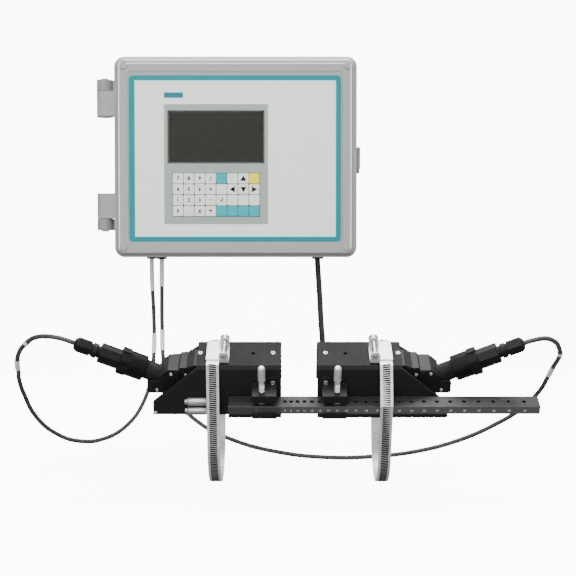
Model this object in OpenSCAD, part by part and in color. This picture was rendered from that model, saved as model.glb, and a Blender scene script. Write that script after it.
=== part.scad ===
// Clamp-on ultrasonic flow meter: a wall transmitter with display and keypad, and two sensors in
// channel frames that sit on a graduated spacer bar and are strapped to a nominal 4 inch pipe.
// The origin is the centre of the four wall holes, on the back face. X runs along the pipe, +Y goes
// into the wall and +Z is up. The frames are drawn upright on the pipe axis and then tilted.

/* [Enclosure] */
// Width of the enclosure
enc_w = 292; // [280:1:330]
// Height of the enclosure
enc_h = 241; // [236:1:280]
// Depth of the back box, wall face to rim
box_d = 131; // [120:1:150]
// Depth of the door
door_d = 40; // [36:1:46]
// Gap between the box rim and the door rim
door_gap = 1.2; // [1:0.1:2]
// Wall thickness of the box and the door
wall_t = 4; // [3.5:0.5:5]
// Outer corner radius
corner_r = 12; // [10:1:15]
// Width of the bevel round the door's front
bevel = 6; // [4:0.5:8]
// Diameter of the moulded stud at each front corner of the door
stud_d = 8; // [6:0.5:9]
// Height of that stud
stud_h = 1.2; // [0.8:0.1:2]

/* [Wall holes] */
// Hole to hole distance across
hole_pitch_x = 250; // [235:1:255]
// Hole to hole distance up
hole_pitch_z = 200; // [185:1:205]
// Hole diameter, for an M6 screw
wall_hole_d = 7; // [6:0.1:8]

/* [Hinges and latch] */
// Distance of the pin axis from the side wall
hinge_out = 17; // [14:0.5:18]
// Distance of each hinge's knuckle joint from the hinges' middle
hinge_z = 78; // [70:1:85]
// Height of the hinges' middle above mid height
hinge_mid = 5; // [0:0.5:7]
// Length of the box's knuckle
box_knuckle_l = 14; // [10:1:18]
// Length of the door's knuckle
door_knuckle_l = 31; // [24:1:36]
// Outer diameter of a knuckle
knuckle_d = 19.5; // [16:0.5:20]
// Diameter of a hinge pin
hinge_pin_d = 5; // [4:0.5:6]
// Diameter of a hinge pin's head
hinge_head_d = 9; // [8:0.5:11]
// Thickness of that head
hinge_head_t = 1.5; // [1:0.1:2]
// Height of the latch
latch_h = 26; // [20:1:32]
// Length of the latch, from its pivot over the door
latch_l = 34; // [28:1:38]
// Thickness of the latch plate
latch_t = 2.4; // [2:0.2:3]
// Distance of the latch's pivot behind the box rim
latch_back = 12; // [8:1:20]
// Diameter of the latch pin
latch_pin_d = 3; // [2.5:0.5:3.5]
// Outer diameter of the latch's knuckle
latch_knuckle_d = 6; // [5.5:0.5:8]
// Thickness of the latch's ears
latch_ear_t = 3; // [2:0.5:5]

/* [Front panel] */
// Width of the panel
panel_w = 257; // [250:1:262]
// Height of the panel
panel_h = 203.5; // [200:0.5:208]
// Thickness of the panel
panel_t = 1.5; // [1:0.1:2]
// Corner radius of the panel
panel_r = 4; // [2:0.5:8]
// Centre of the display and keypad, across
bezel_x = -23.2; // [-40:0.1:40]
// Width of the display window
window_w = 116; // [110:0.5:120]
// Height of the display window
window_h = 63; // [55:0.5:66]
// Centre of the display window, up
window_z = 23.7; // [20:0.1:28]
// Width of the ledge that the window lies on
window_ledge = 2; // [1.5:0.5:4]

/* [Keypad] */
// Number of key columns
key_cols = 8;
// Number of key rows
key_rows = 4;
// Key to key distance across
key_pitch_x = 13.1; // [12.5:0.1:14]
// Key to key distance up
key_pitch_z = 13; // [12.5:0.1:14]
// Gap between two key caps
key_gap = 0.6; // [0.4:0.1:1]
// Height of the keypad's centre
keypad_z = -45.4; // [-50:0.1:-42]
// Thickness of a key cap
key_t = 2.5; // [2.2:0.1:3]
// Corner radius of a key cap
key_r = 1.2; // [0.6:0.1:2]
// How far a key stands proud of the panel
key_proud = 0.7; // [0.6:0.1:1]
// Travel of a key
key_travel = 0.6; // [0.3:0.1:0.6]
// Diameter of a key's stem
key_stem_d = 4; // [3:0.5:5]
// Length of that stem
key_stem_l = 3; // [2.4:0.1:3.2]
// Width of a key switch
switch_w = 7; // [6.5:0.5:8]
// Depth of a key switch
switch_t = 3.4; // [3.2:0.1:4]
// Thickness of a circuit board
pcb_t = 1.6; // [1:0.1:2.4]

/* [Main board] */
// Width of the main board
main_w = 222; // [200:1:230]
// Height of the main board
main_h = 159; // [150:1:165]
// Diameter of a post under the main board
post_d = 10; // [8:0.5:12]
// Length of that post
post_l = 12; // [8:0.5:16]
// Height of a terminal strip
terminal_h = 12; // [10:1:16]
// How far a terminal strip stands off the board
terminal_t = 14; // [10:1:20]
// Distance from one terminal to the next
terminal_pitch = 7.5; // [5:0.5:10]
// Diameter of a terminal's screw hole
terminal_d = 4; // [3:0.5:4.5]
// Diameter of a capacitor
can_d = 16; // [12:1:20]
// Length of a capacitor
can_l = 24; // [16:1:32]

/* [Cable glands] */
// Wall of a gland round its cable
gland_wall_t = 1.6; // [1.2:0.1:2.5]
// How far the gland's flange and nut stand out beyond its body
gland_rim = 2.2; // [1.5:0.1:3]
// Thickness of the flange under the enclosure
gland_flange_t = 3; // [2:0.5:5]
// Thickness of the nut inside
gland_nut_t = 4; // [3:0.5:6]

/* [Pipe and rig] */
// Outside diameter of the pipe that the sensors are strapped to
pipe_d = 114.3; // [108:0.1:120]
// Distance of the pipe axis from the wall
pipe_front = 266; // [262:1:270]
// Distance of the pipe axis below the origin
pipe_drop = 313; // [309:1:317]
// Tilt of the frames towards the front, from straight up
rig_tilt = 30; // [28:1:32]
// Middle of the gap between the frames, along X
rig_x = 75.2; // [71:0.1:79]

/* [Frames] */
// Gap between the two frames
frame_gap = 38.4; // [36:0.1:46]
// Length of the top plate
plate_l = 90.5; // [86:0.5:95]
// Length of the slanted toe beyond the plate
toe_l = 47.5; // [44:0.5:50]
// Height of the wall at the toe's end
toe_h = 15; // [12:1:18]
// Width over the top plate
plate_w = 44; // [42:1:50]
// Width over the saddle feet
foot_w = 66; // [60:1:70]
// Height of the top plate above the pipe
frame_h = 47; // [44:1:52]
// Thickness of the top plate
plate_t = 5; // [4:0.5:6]
// Thickness of the side walls
side_t = 4; // [3:0.5:5]
// Diameter of the holes in the plate and the side
frame_hole_d = 4.3; // [3.3:0.1:5.3]
// Diameter of the round boss on the side
side_boss_d = 12; // [9:0.5:14]
// How far that boss stands out
side_boss_t = 2.5; // [2:0.1:4]
// Distance of the screw boss from the frame's inner end
boss_in = 5; // [3:0.5:8]
// Length of the boss that holds the clamp screw
boss_l = 26; // [22:1:30]
// Height of that boss
boss_h = 9; // [7:0.5:12]
// Clearance between that boss and the clamp screw's shoe
boss_lift = 1.8; // [1:0.1:3]
// Distance of the clamp screw from the frame's inner end
clamp_in = 20.7; // [16:0.1:22]
// Thickness of the ledge under the spacer bar
ledge_t = 4.5; // [3.5:0.5:6]
// Thickness of the lip at the ledge's edge
lip_t = 2; // [1.5:0.1:3]
// Height of that lip over the ledge
lip_h = 2; // [1:0.1:4]

/* [Spacer bar] */
// Length of the bar between the frames and under the right one
bar_l = 274; // [260:1:300]
// Length of the bar under the left frame
bar_left = 56; // [40:1:60]
// Width of the bar, the face with the holes
bar_w = 18; // [16:0.5:20]
// Height of the bar, the face with the numbers
bar_h = 9.5; // [8:0.5:11]
// Height of the bar's underside above the pipe's crown line
bar_lift = 2.9; // [2.5:0.1:4]
// Diameter of the index holes
index_d = 4.4; // [3.5:0.1:5]
// Number of index holes
index_count = 23; // [16:1:23]
// Distance of the first index hole from the left frame
index_in = 4; // [3:0.5:6]
// Distance between the first two index holes
index_pitch = 6.4; // [6:0.1:6.6]
// How much each distance is longer than the one before
index_growth = 0.49; // [0.4:0.01:0.5]

/* [Clamp screws] */
// Diameter of the shank
clamp_d = 6; // [5:0.5:7]
// Diameter of the head
clamp_head_d = 8; // [7.5:0.5:10]
// Height of the head
clamp_head_h = 12; // [9:0.5:14]
// Length of the shank above the boss
clamp_free_l = 20; // [16:1:24]
// Diameter of the shoe that bears on the bar
shoe_d = 11; // [9:0.5:12]
// Thickness of the shoe
shoe_t = 2.6; // [2:0.1:3]

/* [Sensors] */
// Width of the sensor block
sensor_w = 30; // [26:1:32]
// Distance of the block from the frame's inner end
sensor_in = 20; // [14:1:24]
// How far the block's slanted face stands out of the frame
sensor_proud = 3; // [2:0.5:5]
// Distance of the block's nose behind the frame's outer end
nose_in = 6; // [5:0.5:9]
// Undercut of the block's nose
nose_cut = 3; // [1:0.5:5]
// Length of the stepped housing that carries the receptacle
housing_l = 30; // [26:1:34]
// Height of each of its two steps
housing_step = 3.1; // [2:0.1:4]
// Length of each step's tread
tread_l = 7; // [5:0.5:9]
// Length of the bevel down to the nose
bevel_l = 10; // [7:0.5:12]
// Width of the foot under the nose
nub_w = 24; // [20:1:27]
// Height of that foot
nub_h = 16; // [12:0.5:18]
// Distance of the foot's underside above the crown line
nub_lift = 3; // [2:0.5:5]
// How far the foot stands out of the frame
nub_proud = 7.5; // [5:0.5:9]
// Rounding of the foot and of the screw boss
foot_round = 3; // [2:0.5:4]
// Angle of the receptacle above the pipe axis
plug_tilt = 24.8; // [22:0.1:27]
// Distance of the receptacle's foot behind the frame's outer end
plug_in = 10; // [8:0.5:12]
// Height of the receptacle's foot above the pipe
plug_lift = 17.35; // [16.05:0.1:18.05]
// Diameter of the receptacle
recept_d = 20; // [18:0.5:21]
// Length of the receptacle beyond its foot
recept_l = 27; // [25:0.5:29]
// Length of the receptacle inside the block
recept_root = 14; // [10:0.5:18]
// Diameter of the receptacle's flange
collar_d = 24; // [22:0.5:26]
// Thickness of that flange
collar_l = 5; // [3:0.5:7]
// Distance of the flange from the receptacle's foot
collar_in = 0.5; // [0.5:0.5:3]

/* [Plugs] */
// Outer diameter of the coupling ring
ring_d = 28; // [26:0.5:30]
// Length of the coupling ring
ring_l = 28; // [25:0.5:30]
// How far the ring goes over the receptacle
ring_grip = 3.7; // [2.5:0.1:5]
// Width of the plug's eight-sided body over its flats
plug_d = 21; // [20:0.5:23]
// Length of the plug's body
plug_l = 22.4; // [20:0.1:25]
// Diameter of the neck between the body and the gland nut
neck_d = 13; // [12:0.5:14]
// Length of that neck
neck_l = 10.8; // [9:0.1:12]
// Width of the gland nut over its flats
nut_d = 15.5; // [14:0.5:17]
// Length of the gland nut
nut_l = 14.7; // [13:0.1:16]
// How far the cable goes into the gland nut
cable_hold = 9.3; // [6:0.1:11]

/* [Straps] */
// Width of a strap
strap_w = 13.5; // [12:0.5:15]
// Thickness of a strap
strap_t = 1; // [0.8:0.1:1.3]
// Distance of a strap's middle from the plate's outer end
strap_in = 17.5; // [15:0.5:20]
// Diameter of the strap screw's shank
worm_d = 5.4; // [5:0.2:6]
// Length of the strap screw's shank
worm_l = 31; // [29:0.5:33]
// Diameter of the strap screw's head
worm_head_d = 10.6; // [9.6:0.2:11]
// Thickness of the strap screw's head
worm_head_t = 5; // [4:0.2:6]
// Distance of the strap screw beside the strap's middle
worm_side = 11.7; // [11.5:0.1:12.5]
// Width of the tray under the strap screw
tray_w = 10.6; // [10:0.2:11.6]
// Thickness of the ears that the strap screw turns in
worm_ear_t = 2; // [1.5:0.1:3]
// Thickness of the plate over the strap
cover_t = 1.5; // [1:0.1:2]
// How far that plate stands over the strap's edges
cover_lap = 0.6; // [0.4:0.1:1]
// Length of that plate
cover_l = 30; // [26:1:34]
// Width of the slot in the strap screw's head
slot_w = 1.4; // [1:0.1:2]
// Depth of that slot
slot_t = 2; // [1:0.5:3]

/* [Cables] */
// Diameter of a sensor cable
cable_d = 5.3; // [5:0.1:5.5]
// Diameter of the power cable
power_d = 7.4; // [7:0.1:7.6]
// Turns of the power cable's coil in one layer
coil_turns = 1.5;
// Layers of the coil, an even number
coil_layers = 4;
// Radius of the coil's outermost turn, at the middle of the cable
coil_r = 43.3; // [42:0.1:44]
// Gap between two turns of the coil
coil_gap = 0.8; // [0.7:0.1:1]

/* [Hidden] */
$fn = 48;
hull_fn = 32;
key_names = [for (r = [1:key_rows]) for (c = [1:key_cols]) str("key_", r, "_", c)];

// Overrun of every cut past the face that it opens
over = 1;
// Running clearance of a pin, screw or stem in its hole, on the radius
run_fit = 0.08;
// Clearance between a piece and the seat it rests at
seat_gap = 0.3;
// Clearance round a panel, pane or seal in its recess
trim_gap = 0.15;
// Clearance of a cable in its gland, on the radius
cable_fit = 0.3;

// Enclosure
side_x = enc_w / 2;
bottom_z = -enc_h / 2;
rim_y = -box_d;
door_y = rim_y - door_gap;
front_y = door_y - door_d;
hinge_x = -side_x - hinge_out;
gasket_w = 2.2;
gasket_groove = 2;
latch_x = side_x + seat_gap + latch_knuckle_d / 2;
latch_y = rim_y + latch_back;

// Display board, behind the window and the keys
key_back_y = front_y - key_proud + key_t;
switch_y = key_back_y + key_travel + seat_gap;
pcb_y = switch_y + switch_t;
keypad_w = key_cols * key_pitch_x + key_gap;
keypad_h = key_rows * key_pitch_z + key_gap;
pcb_rim = 9;
pcb_top = window_z + window_h / 2 + pcb_rim;
pcb_bottom = keypad_z - keypad_h / 2 - pcb_rim;
pcb_w = window_w + 2 * pcb_rim;
pcb_post_d = 6;

// Pieces on the main board: place across and up, as shares of the board from its lower left corner,
// then width, height and depth as shares of the board's height
part_shares = [[0.16, 0.72, 0.32, 0.3, 0.22], [0.42, 0.76, 0.16, 0.16, 0.08],
    [0.68, 0.72, 0.26, 0.34, 0.12], [0.88, 0.74, 0.12, 0.24, 0.16], [0.42, 0.44, 0.2, 0.12, 0.06],
    [0.72, 0.4, 0.14, 0.14, 0.06], [0.16, 0.38, 0.22, 0.1, 0.12]];
// Terminal strips: place across and up, and width as a share of the board's width
terminal_shares = [[0.26, 0.1, 0.4], [0.74, 0.1, 0.4]];
// Capacitors: place across and up
can_shares = [[0.3, 0.46], [0.56, 0.5]];

// Frames, upright on the pipe axis: x runs from the inner end outwards, y to the back, z up
pipe_r = pipe_d / 2;
left_x = rig_x - frame_gap / 2;
right_x = rig_x + frame_gap / 2;
frame_l = plate_l + toe_l;
plate_z = pipe_r + frame_h;
foot_z = sqrt(pipe_r * pipe_r - foot_w * foot_w / 4) - over;
wall_lean = (foot_w - plate_w) / 2 / (plate_z - foot_z);
pipe_seat = 0.2;
bar_z = pipe_r + bar_lift;
bar_top = bar_z + bar_h;
bar_in = wall_at(bar_z) + seat_gap;
bar_mid = bar_in + bar_w / 2;
bar_out = bar_in + bar_w;
ledge_out = bar_out + seat_gap;
shoe_z = bar_top + seat_gap;
boss_z = shoe_z + shoe_t + boss_lift;
side_boss_share = 0.6;
bevel_share = 0.85;
plate_hole_shares = [0.1, 0.336, 0.962];
recept_z = pipe_r + plug_lift;

// Distances along the receptacle's axis
ring_s = recept_l - ring_grip;
body_s = ring_s + ring_l + seat_gap;
neck_s = body_s + plug_l;
nut_s = neck_s + neck_l;
tip_s = nut_s + nut_l;

// Straps
worm_back_share = 0.39;
strap_bite = 0.06;
strap_x = plate_l - strap_in;
strap_z = plate_z + seat_gap;
strap_side = plate_w / 2 + pipe_seat;
worm_z = strap_z + strap_t + cover_t + worm_head_d / 2;
worm_y = worm_l * worm_back_share;
worm_ears = [worm_y - worm_l + over, worm_y - worm_ear_t];
cover_w = strap_w + 2 * cover_lap;

// Cable routes in the world frame, from a plug or a gland to the other end. The glands' places are
// the ends of the routes.
left_route = [[-153.7, -322.2, -215.8], [-161, -323.9, -212.9], [-171, -326, -208.9],
    [-182, -327, -205.5], [-195, -324, -204], [-210, -316, -206], [-222, -303, -213],
    [-235, -282, -225], [-243, -258, -240], [-247, -236, -252], [-252, -212, -264],
    [-251, -190, -285], [-243, -170, -312], [-225, -152, -335], [-198, -135, -349],
    [-168, -118, -349], [-140, -100, -333], [-122, -82, -305], [-114, -66, -270],
    [-112, -58, -235], [-113, -53, -195], [-115, -50.5, -160], [-115.7, -50, -128],
    [-115.7, -50, -110]];
right_route = [[304.3, -322.2, -215.8], [311.6, -323.9, -212.9], [325, -327, -208],
    [338, -327, -206], [350, -318, -210], [358, -303, -217], [364, -285, -227],
    [366, -264, -236], [367, -240, -246], [367, -215, -260], [362, -192, -280],
    [345, -174, -303], [315, -160, -325], [275, -150, -345], [225, -143, -360],
    [170, -137, -368], [110, -132, -370], [50, -128, -364], [-5, -124, -350],
    [-50, -118, -328], [-80, -108, -298], [-94, -99, -260], [-97.5, -93, -212],
    [-98, -90.5, -165], [-98, -90, -128], [-98, -90, -110]];
power_route = [[101.6, -60, -110], [101.6, -60, -128], [103, -61, -150], [104.5, -64, -175],
    [106, -67, -205], [108, -68, -232], [108.5, -68, -255], [108.5, -68, -269]];
cable_sides = 10;

// Coil of the power cable, in upright layers behind the right frame
coil_start = power_route[len(power_route) - 1];
coil_pitch = power_d + coil_gap;
coil_x = coil_start[0] + coil_r;
coil_z = coil_start[2] - power_d;
coil_sides = 6;
coil_steps = 24;
coil_all = coil_turns * coil_layers;

// Half width over the frame's walls at height z
function wall_at(z) = plate_w / 2 + (plate_z - z) * wall_lean;

function unit(v) = v / norm(v);

// Vector square to d, kept as near to side as it can be
function level(side, d) = unit(side - (side * d) * d);

// Directions of a path at its points
function path_dirs(p) = [for (i = [0:len(p) - 1])
    unit(p[min(i + 1, len(p) - 1)] - p[max(i - 1, 0)])];

// Side vectors carried along a path without twist
function carried(dirs, side, i = 0) = i == len(dirs) ? [] :
    let (s = level(side, dirs[i])) concat([s], carried(dirs, s, i + 1));

// Tube of diameter d and some sides along the points of path
module tube(path, d, sides) {
    dirs = path_dirs(path);
    sides_v = carried(dirs, level([0.3, 0.5, 0.8], dirs[0]));
    points = [for (i = [0:len(path) - 1]) for (k = [0:sides - 1])
        let (a = 360 * k / sides)
            path[i] + d / 2 * (cos(a) * sides_v[i] + sin(a) * cross(dirs[i], sides_v[i]))];
    last = (len(path) - 1) * sides;
    walls = [for (i = [0:len(path) - 2]) for (k = [0:sides - 1])
        let (a = i * sides + k, b = i * sides + (k + 1) % sides, c = b + sides, e = a + sides)
            each [[a, e, c], [a, c, b]]];
    ends = [for (k = [1:sides - 2]) each [[0, k, k + 1], [last, last + k + 1, last + k]]];
    polyhedron(points, concat(walls, ends));
}

// Rounded rectangle of width w, height h and corner radius r
module rounded_rect(w, h, r) {
    square([w - 2 * r, h], center = true);
    square([w, h - 2 * r], center = true);
    for (x = [-1, 1]) for (y = [-1, 1]) translate([x * (w / 2 - r), y * (h / 2 - r)]) circle(r);
}

// Extrusion of a front view from depth y towards the front, over depth t
module forward(y, t) translate([0, y, 0]) rotate([90, 0, 0]) linear_extrude(t) children();

// Extrusion of a cross-section along x
module along(x, l) translate([x, 0, 0]) rotate([90, 0, 90]) linear_extrude(l) children();

// Extrusion of a side view across the frame, centred
module across(w) rotate([90, 0, 0]) linear_extrude(w, center = true) children();

// Block from one corner to the opposite one
module block(low, high) translate(low) cube(high - low);

// Enclosure

// Knuckle on the hinge axis, from a height over a length, with its arm to the side wall. The arm is
// behind the parting plane with side 1, and in front of it with side -1.
module knuckle(z, l, edge_y, side) {
    translate([hinge_x, rim_y, z]) cylinder(d = knuckle_d, h = l);
    arm_y = rim_y + side * knuckle_d / 2;
    block([hinge_x, min(edge_y, arm_y), z], [wall_t / 2 - side_x, max(edge_y, arm_y), z + l]);
}

// Both copies of a hinge piece, above and below the hinges' middle
module both_hinges() translate([0, 0, hinge_mid]) for (s = [0, 1]) mirror([0, 0, s]) children();

module pin_bore() translate([hinge_x, rim_y, -over]) cylinder(r = hinge_pin_d / 2 + run_fit, h = side_x);

module latch_ears() for (s = [-1, 1])
    translate([0, 0, s * (latch_h / 2 + seat_gap + latch_ear_t / 2)]) {
        translate([latch_x, latch_y, 0]) cylinder(d = latch_knuckle_d, h = latch_ear_t, center = true);
        block([side_x - wall_t / 2, latch_y - latch_knuckle_d / 2, -latch_ear_t / 2],
            [latch_x, latch_y + latch_knuckle_d / 2, latch_ear_t / 2]);
    }

module main_posts() for (x = [-1, 1]) for (z = [-1, 1])
    translate([x * (main_w - post_d) / 2, -wall_t + over, z * (main_h - post_d) / 2])
        rotate([90, 0, 0]) cylinder(d = post_d, h = post_l + over);

module enclosure_box() {
    color("#aeb3b4")
    difference() {
        union() {
            difference() {
                forward(0, box_d) rounded_rect(enc_w, enc_h, corner_r);
                forward(-wall_t, box_d)
                    rounded_rect(enc_w - 2 * wall_t, enc_h - 2 * wall_t, corner_r - wall_t);
            }
            main_posts();
            latch_ears();
            both_hinges() knuckle(hinge_z + seat_gap, box_knuckle_l, rim_y, 1);
        }
        for (x = [-1, 1]) for (z = [-1, 1])
            translate([x * hole_pitch_x / 2, over, z * hole_pitch_z / 2])
                rotate([90, 0, 0]) cylinder(d = wall_hole_d, h = wall_t + 2 * over);
        both_hinges() pin_bore();
        translate([latch_x, latch_y, 0])
            cylinder(r = latch_pin_d / 2 + run_fit, h = 2 * latch_h, center = true);
        for (g = glands)
            translate([g[0], g[1], bottom_z - over])
                cylinder(r = gland_r(g[2]) + run_fit, h = wall_t + 2 * over);
    }
}

module display_posts() for (x = [-1, 1]) for (z = [pcb_top - pcb_post_d / 2, pcb_bottom + pcb_post_d / 2])
    translate([bezel_x + x * (pcb_w - pcb_post_d) / 2, pcb_y, z])
        rotate([90, 0, 0]) cylinder(d = pcb_post_d, h = pcb_y - front_y - wall_t / 2);

module gasket_ring(w) difference() {
    rounded_rect(enc_w - wall_t + w, enc_h - wall_t + w, corner_r - (wall_t - w) / 2);
    rounded_rect(enc_w - wall_t - w, enc_h - wall_t - w, corner_r - (wall_t + w) / 2);
}

// Outer form of the door, with the bevel round its front
module door_blank() hull() {
    forward(door_y, door_d - bevel) rounded_rect(enc_w, enc_h, corner_r, $fn = hull_fn);
    forward(door_y, door_d)
        rounded_rect(enc_w - 2 * bevel, enc_h - 2 * bevel, corner_r - bevel, $fn = hull_fn);
}

module enclosure_door() {
    inner_w = enc_w - 2 * wall_t;
    inner_h = enc_h - 2 * wall_t;
    color("#b4b8b9")
    difference() {
        union() {
            difference() {
                door_blank();
                forward(door_y + over, door_d - wall_t - bevel + over)
                    rounded_rect(inner_w, inner_h, corner_r - wall_t);
                forward(door_y, door_d - wall_t)
                    rounded_rect(inner_w - 2 * bevel, inner_h - 2 * bevel, corner_r - wall_t);
            }
            display_posts();
            for (x = [-1, 1]) for (z = [-1, 1])
                translate([x * (side_x - corner_r), front_y + over, z * (-bottom_z - corner_r)])
                    rotate([90, 0, 0]) cylinder(d = stud_d, h = stud_h + over);
            both_hinges() knuckle(hinge_z - door_knuckle_l, door_knuckle_l, door_y, -1);
        }
        forward(front_y + panel_t, panel_t + over)
            rounded_rect(panel_w + 2 * trim_gap, panel_h + 2 * trim_gap, panel_r + trim_gap);
        translate([bezel_x, 0, window_z]) forward(front_y + wall_t + over, wall_t + 2 * over)
            square([window_w - 2 * window_ledge, window_h - 2 * window_ledge], center = true);
        translate([bezel_x, 0, keypad_z]) forward(front_y + wall_t + over, wall_t + 2 * over)
            square([keypad_w, keypad_h], center = true);
        forward(door_y + over, gasket_groove + over) gasket_ring(gasket_w + 2 * trim_gap);
        both_hinges() pin_bore();
    }
}

module hinge_pins() {
    color("silver") {
        both_hinges() translate([hinge_x, rim_y, hinge_z - door_knuckle_l]) {
            shank_l = box_knuckle_l + door_knuckle_l + 2 * seat_gap;
            cylinder(d = hinge_pin_d, h = shank_l);
            translate([0, 0, shank_l]) cylinder(d = hinge_head_d, h = hinge_head_t);
        }
        translate([latch_x, latch_y, 0])
            cylinder(d = latch_pin_d, h = latch_h + 2 * (seat_gap + latch_ear_t), center = true);
    }
}

module door_gasket() {
    color("#303234")
    forward(rim_y - seat_gap, door_gap - seat_gap + gasket_groove) gasket_ring(gasket_w);
}

module door_latch() {
    plate_x = side_x + seat_gap;
    color("#9fa4a6")
    difference() {
        union() {
            translate([latch_x, latch_y, 0]) cylinder(d = latch_knuckle_d, h = latch_h, center = true);
            block([plate_x, latch_y - latch_l, -latch_h / 2], [plate_x + latch_t, latch_y, latch_h / 2]);
            translate([plate_x + latch_t, latch_y - latch_l, 0])
                cylinder(r = latch_t, h = latch_h, center = true);
        }
        translate([latch_x, latch_y, 0])
            cylinder(r = latch_pin_d / 2 + run_fit, h = latch_h + 2 * over, center = true);
        block([side_x - latch_l, latch_y - 2 * latch_l, -latch_h], [plate_x, latch_y, latch_h]);
    }
}

// Front panel, display and keypad

module front_panel() {
    color("#c3cbca")
    forward(front_y + panel_t, panel_t) difference() {
        rounded_rect(panel_w, panel_h, panel_r);
        translate([bezel_x, window_z])
            square([window_w + 2 * trim_gap, window_h + 2 * trim_gap], center = true);
        translate([bezel_x, keypad_z]) square([keypad_w, keypad_h], center = true);
    }
}

module display_window() {
    color("#3c5147", 0.6)
    translate([bezel_x, 0, window_z]) forward(front_y + panel_t, panel_t)
        square([window_w, window_h], center = true);
}

// Places its child at each key's middle
module at_keys() for (r = [1:key_rows]) for (c = [1:key_cols])
    translate([key_x(c), 0, key_z(r)]) children();

function key_x(c) = bezel_x + (c - (key_cols + 1) / 2) * key_pitch_x;
function key_z(r) = keypad_z - (r - (key_rows + 1) / 2) * key_pitch_z;

module display_board() {
    lcd_rim = window_ledge + seat_gap;
    color("#2f6b46")
    difference() {
        union() {
            block([bezel_x - pcb_w / 2, pcb_y, pcb_bottom], [bezel_x + pcb_w / 2, pcb_y + pcb_t, pcb_top]);
            translate([bezel_x, 0, window_z])
                forward(pcb_y + pcb_t / 2, pcb_y + pcb_t / 2 - front_y - panel_t - seat_gap)
                    square([window_w - 2 * lcd_rim, window_h - 2 * lcd_rim], center = true);
            at_keys() forward(pcb_y + pcb_t / 2, switch_t + pcb_t / 2) square(switch_w, center = true);
        }
        at_keys() forward(pcb_y, switch_t + over) circle(key_stem_d / 2 + run_fit);
    }
}

// Keys whose caps are coloured: the menu group, one warning key
function key_colour(r, c) =
    r == 1 && c == 5 || r == key_rows && c > key_cols / 2 ? "#2f8f86" :
    r == 1 && c == key_cols ? "#d8c430" : "#dfe3e1";

module key(r, c) {
    color(key_colour(r, c))
    translate([key_x(c), 0, key_z(r)]) {
        forward(key_back_y, key_t)
            rounded_rect(key_pitch_x - key_gap, key_pitch_z - key_gap, key_r);
        forward(key_back_y + key_stem_l, key_stem_l + key_t / 2) circle(d = key_stem_d);
    }
}

// Inside of the box

// Places its child on the main board's front, at shares of its width and height
module on_board(x_share, z_share)
    translate([(x_share - 1 / 2) * main_w, -wall_t - post_l - pcb_t, (z_share - 1 / 2) * main_h])
        rotate([90, 0, 0]) children();

module terminal_strip(w) difference() {
    translate([-w / 2, -terminal_h / 2, -pcb_t / 2]) cube([w, terminal_h, terminal_t + pcb_t / 2]);
    count = floor(w / terminal_pitch);
    for (i = [0:count - 1])
        translate([(i - (count - 1) / 2) * terminal_pitch, 0, terminal_t / 2])
            cylinder(d = terminal_d, h = terminal_t);
}

module main_board() {
    color("#2b6140") {
        forward(-wall_t - post_l, pcb_t) square([main_w, main_h], center = true);
        for (p = part_shares) on_board(p[0], p[1])
            translate([-p[2] * main_h / 2, -p[3] * main_h / 2, -pcb_t / 2])
                cube([p[2] * main_h, p[3] * main_h, p[4] * main_h + pcb_t / 2]);
        for (p = can_shares) on_board(p[0], p[1])
            translate([0, 0, -pcb_t / 2]) cylinder(d = can_d, h = can_l);
        for (p = terminal_shares) on_board(p[0], p[1]) terminal_strip(p[2] * main_w);
    }
}

// Outer radius of the gland's body for a cable of diameter d
function gland_r(d) = d / 2 + gland_wall_t;

// Place across and in depth, and cable diameter, of each gland
glands = concat(
    [for (r = [left_route, right_route]) let (e = r[len(r) - 1]) [e[0], e[1], cable_d]],
    [[power_route[0][0], power_route[0][1], power_d]]);

module gland(d) {
    body_l = gland_flange_t + wall_t + gland_nut_t;
    difference() {
        union() {
            cylinder(r = gland_r(d) + gland_rim, h = gland_flange_t);
            cylinder(r = gland_r(d), h = body_l);
            translate([0, 0, gland_flange_t + wall_t])
                cylinder(r = gland_r(d) + gland_rim, h = gland_nut_t, $fn = 6);
        }
        translate([0, 0, -over]) cylinder(r = d / 2 + cable_fit, h = body_l + 2 * over);
    }
}

module cable_glands() {
    color("#2c2e30")
    for (g = glands) translate([g[0], g[1], bottom_z - gland_flange_t]) gland(g[2]);
}

// Sensor frames

// The rig: children are drawn upright on the pipe axis
module rig() translate([0, -pipe_front, -pipe_drop]) rotate([rig_tilt, 0, 0]) children();

// The left and the right side: children are drawn with x outwards from the frame's inner end
module left_side() rig() translate([left_x, 0, 0]) mirror([1, 0, 0]) children();
module right_side() rig() translate([right_x, 0, 0]) children();

// Cross-section of the channel, shrunk at its sides and its top
module channel(side, top, low) polygon([
    [side - wall_at(low), low], [wall_at(low) - side, low],
    [wall_at(plate_z - top) - side, plate_z - top], [side - wall_at(plate_z - top), plate_z - top]]);

module frame_shell() intersection() {
    difference() {
        along(0, frame_l) channel(0, 0, foot_z);
        along(-over, frame_l + 2 * over) channel(side_t, plate_t, foot_z - over);
    }
    across(2 * foot_w) polygon([[0, foot_z - over], [0, plate_z], [plate_l, plate_z],
        [plate_l, plate_z - plate_t], [frame_l, foot_z + toe_h], [frame_l, foot_z - over]]);
}

module bar_ledge(l) {
    top = bar_z - seat_gap;
    along(0, l) polygon([[side_t / 2 - wall_at(top), top], [-ledge_out, top],
        [-ledge_out, top - ledge_t], [side_t / 2 - wall_at(top), top - ledge_t]]);
    block([boss_in, -ledge_out - lip_t, top - ledge_t], [boss_in + boss_l, -ledge_out, top + lip_h]);
}

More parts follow.
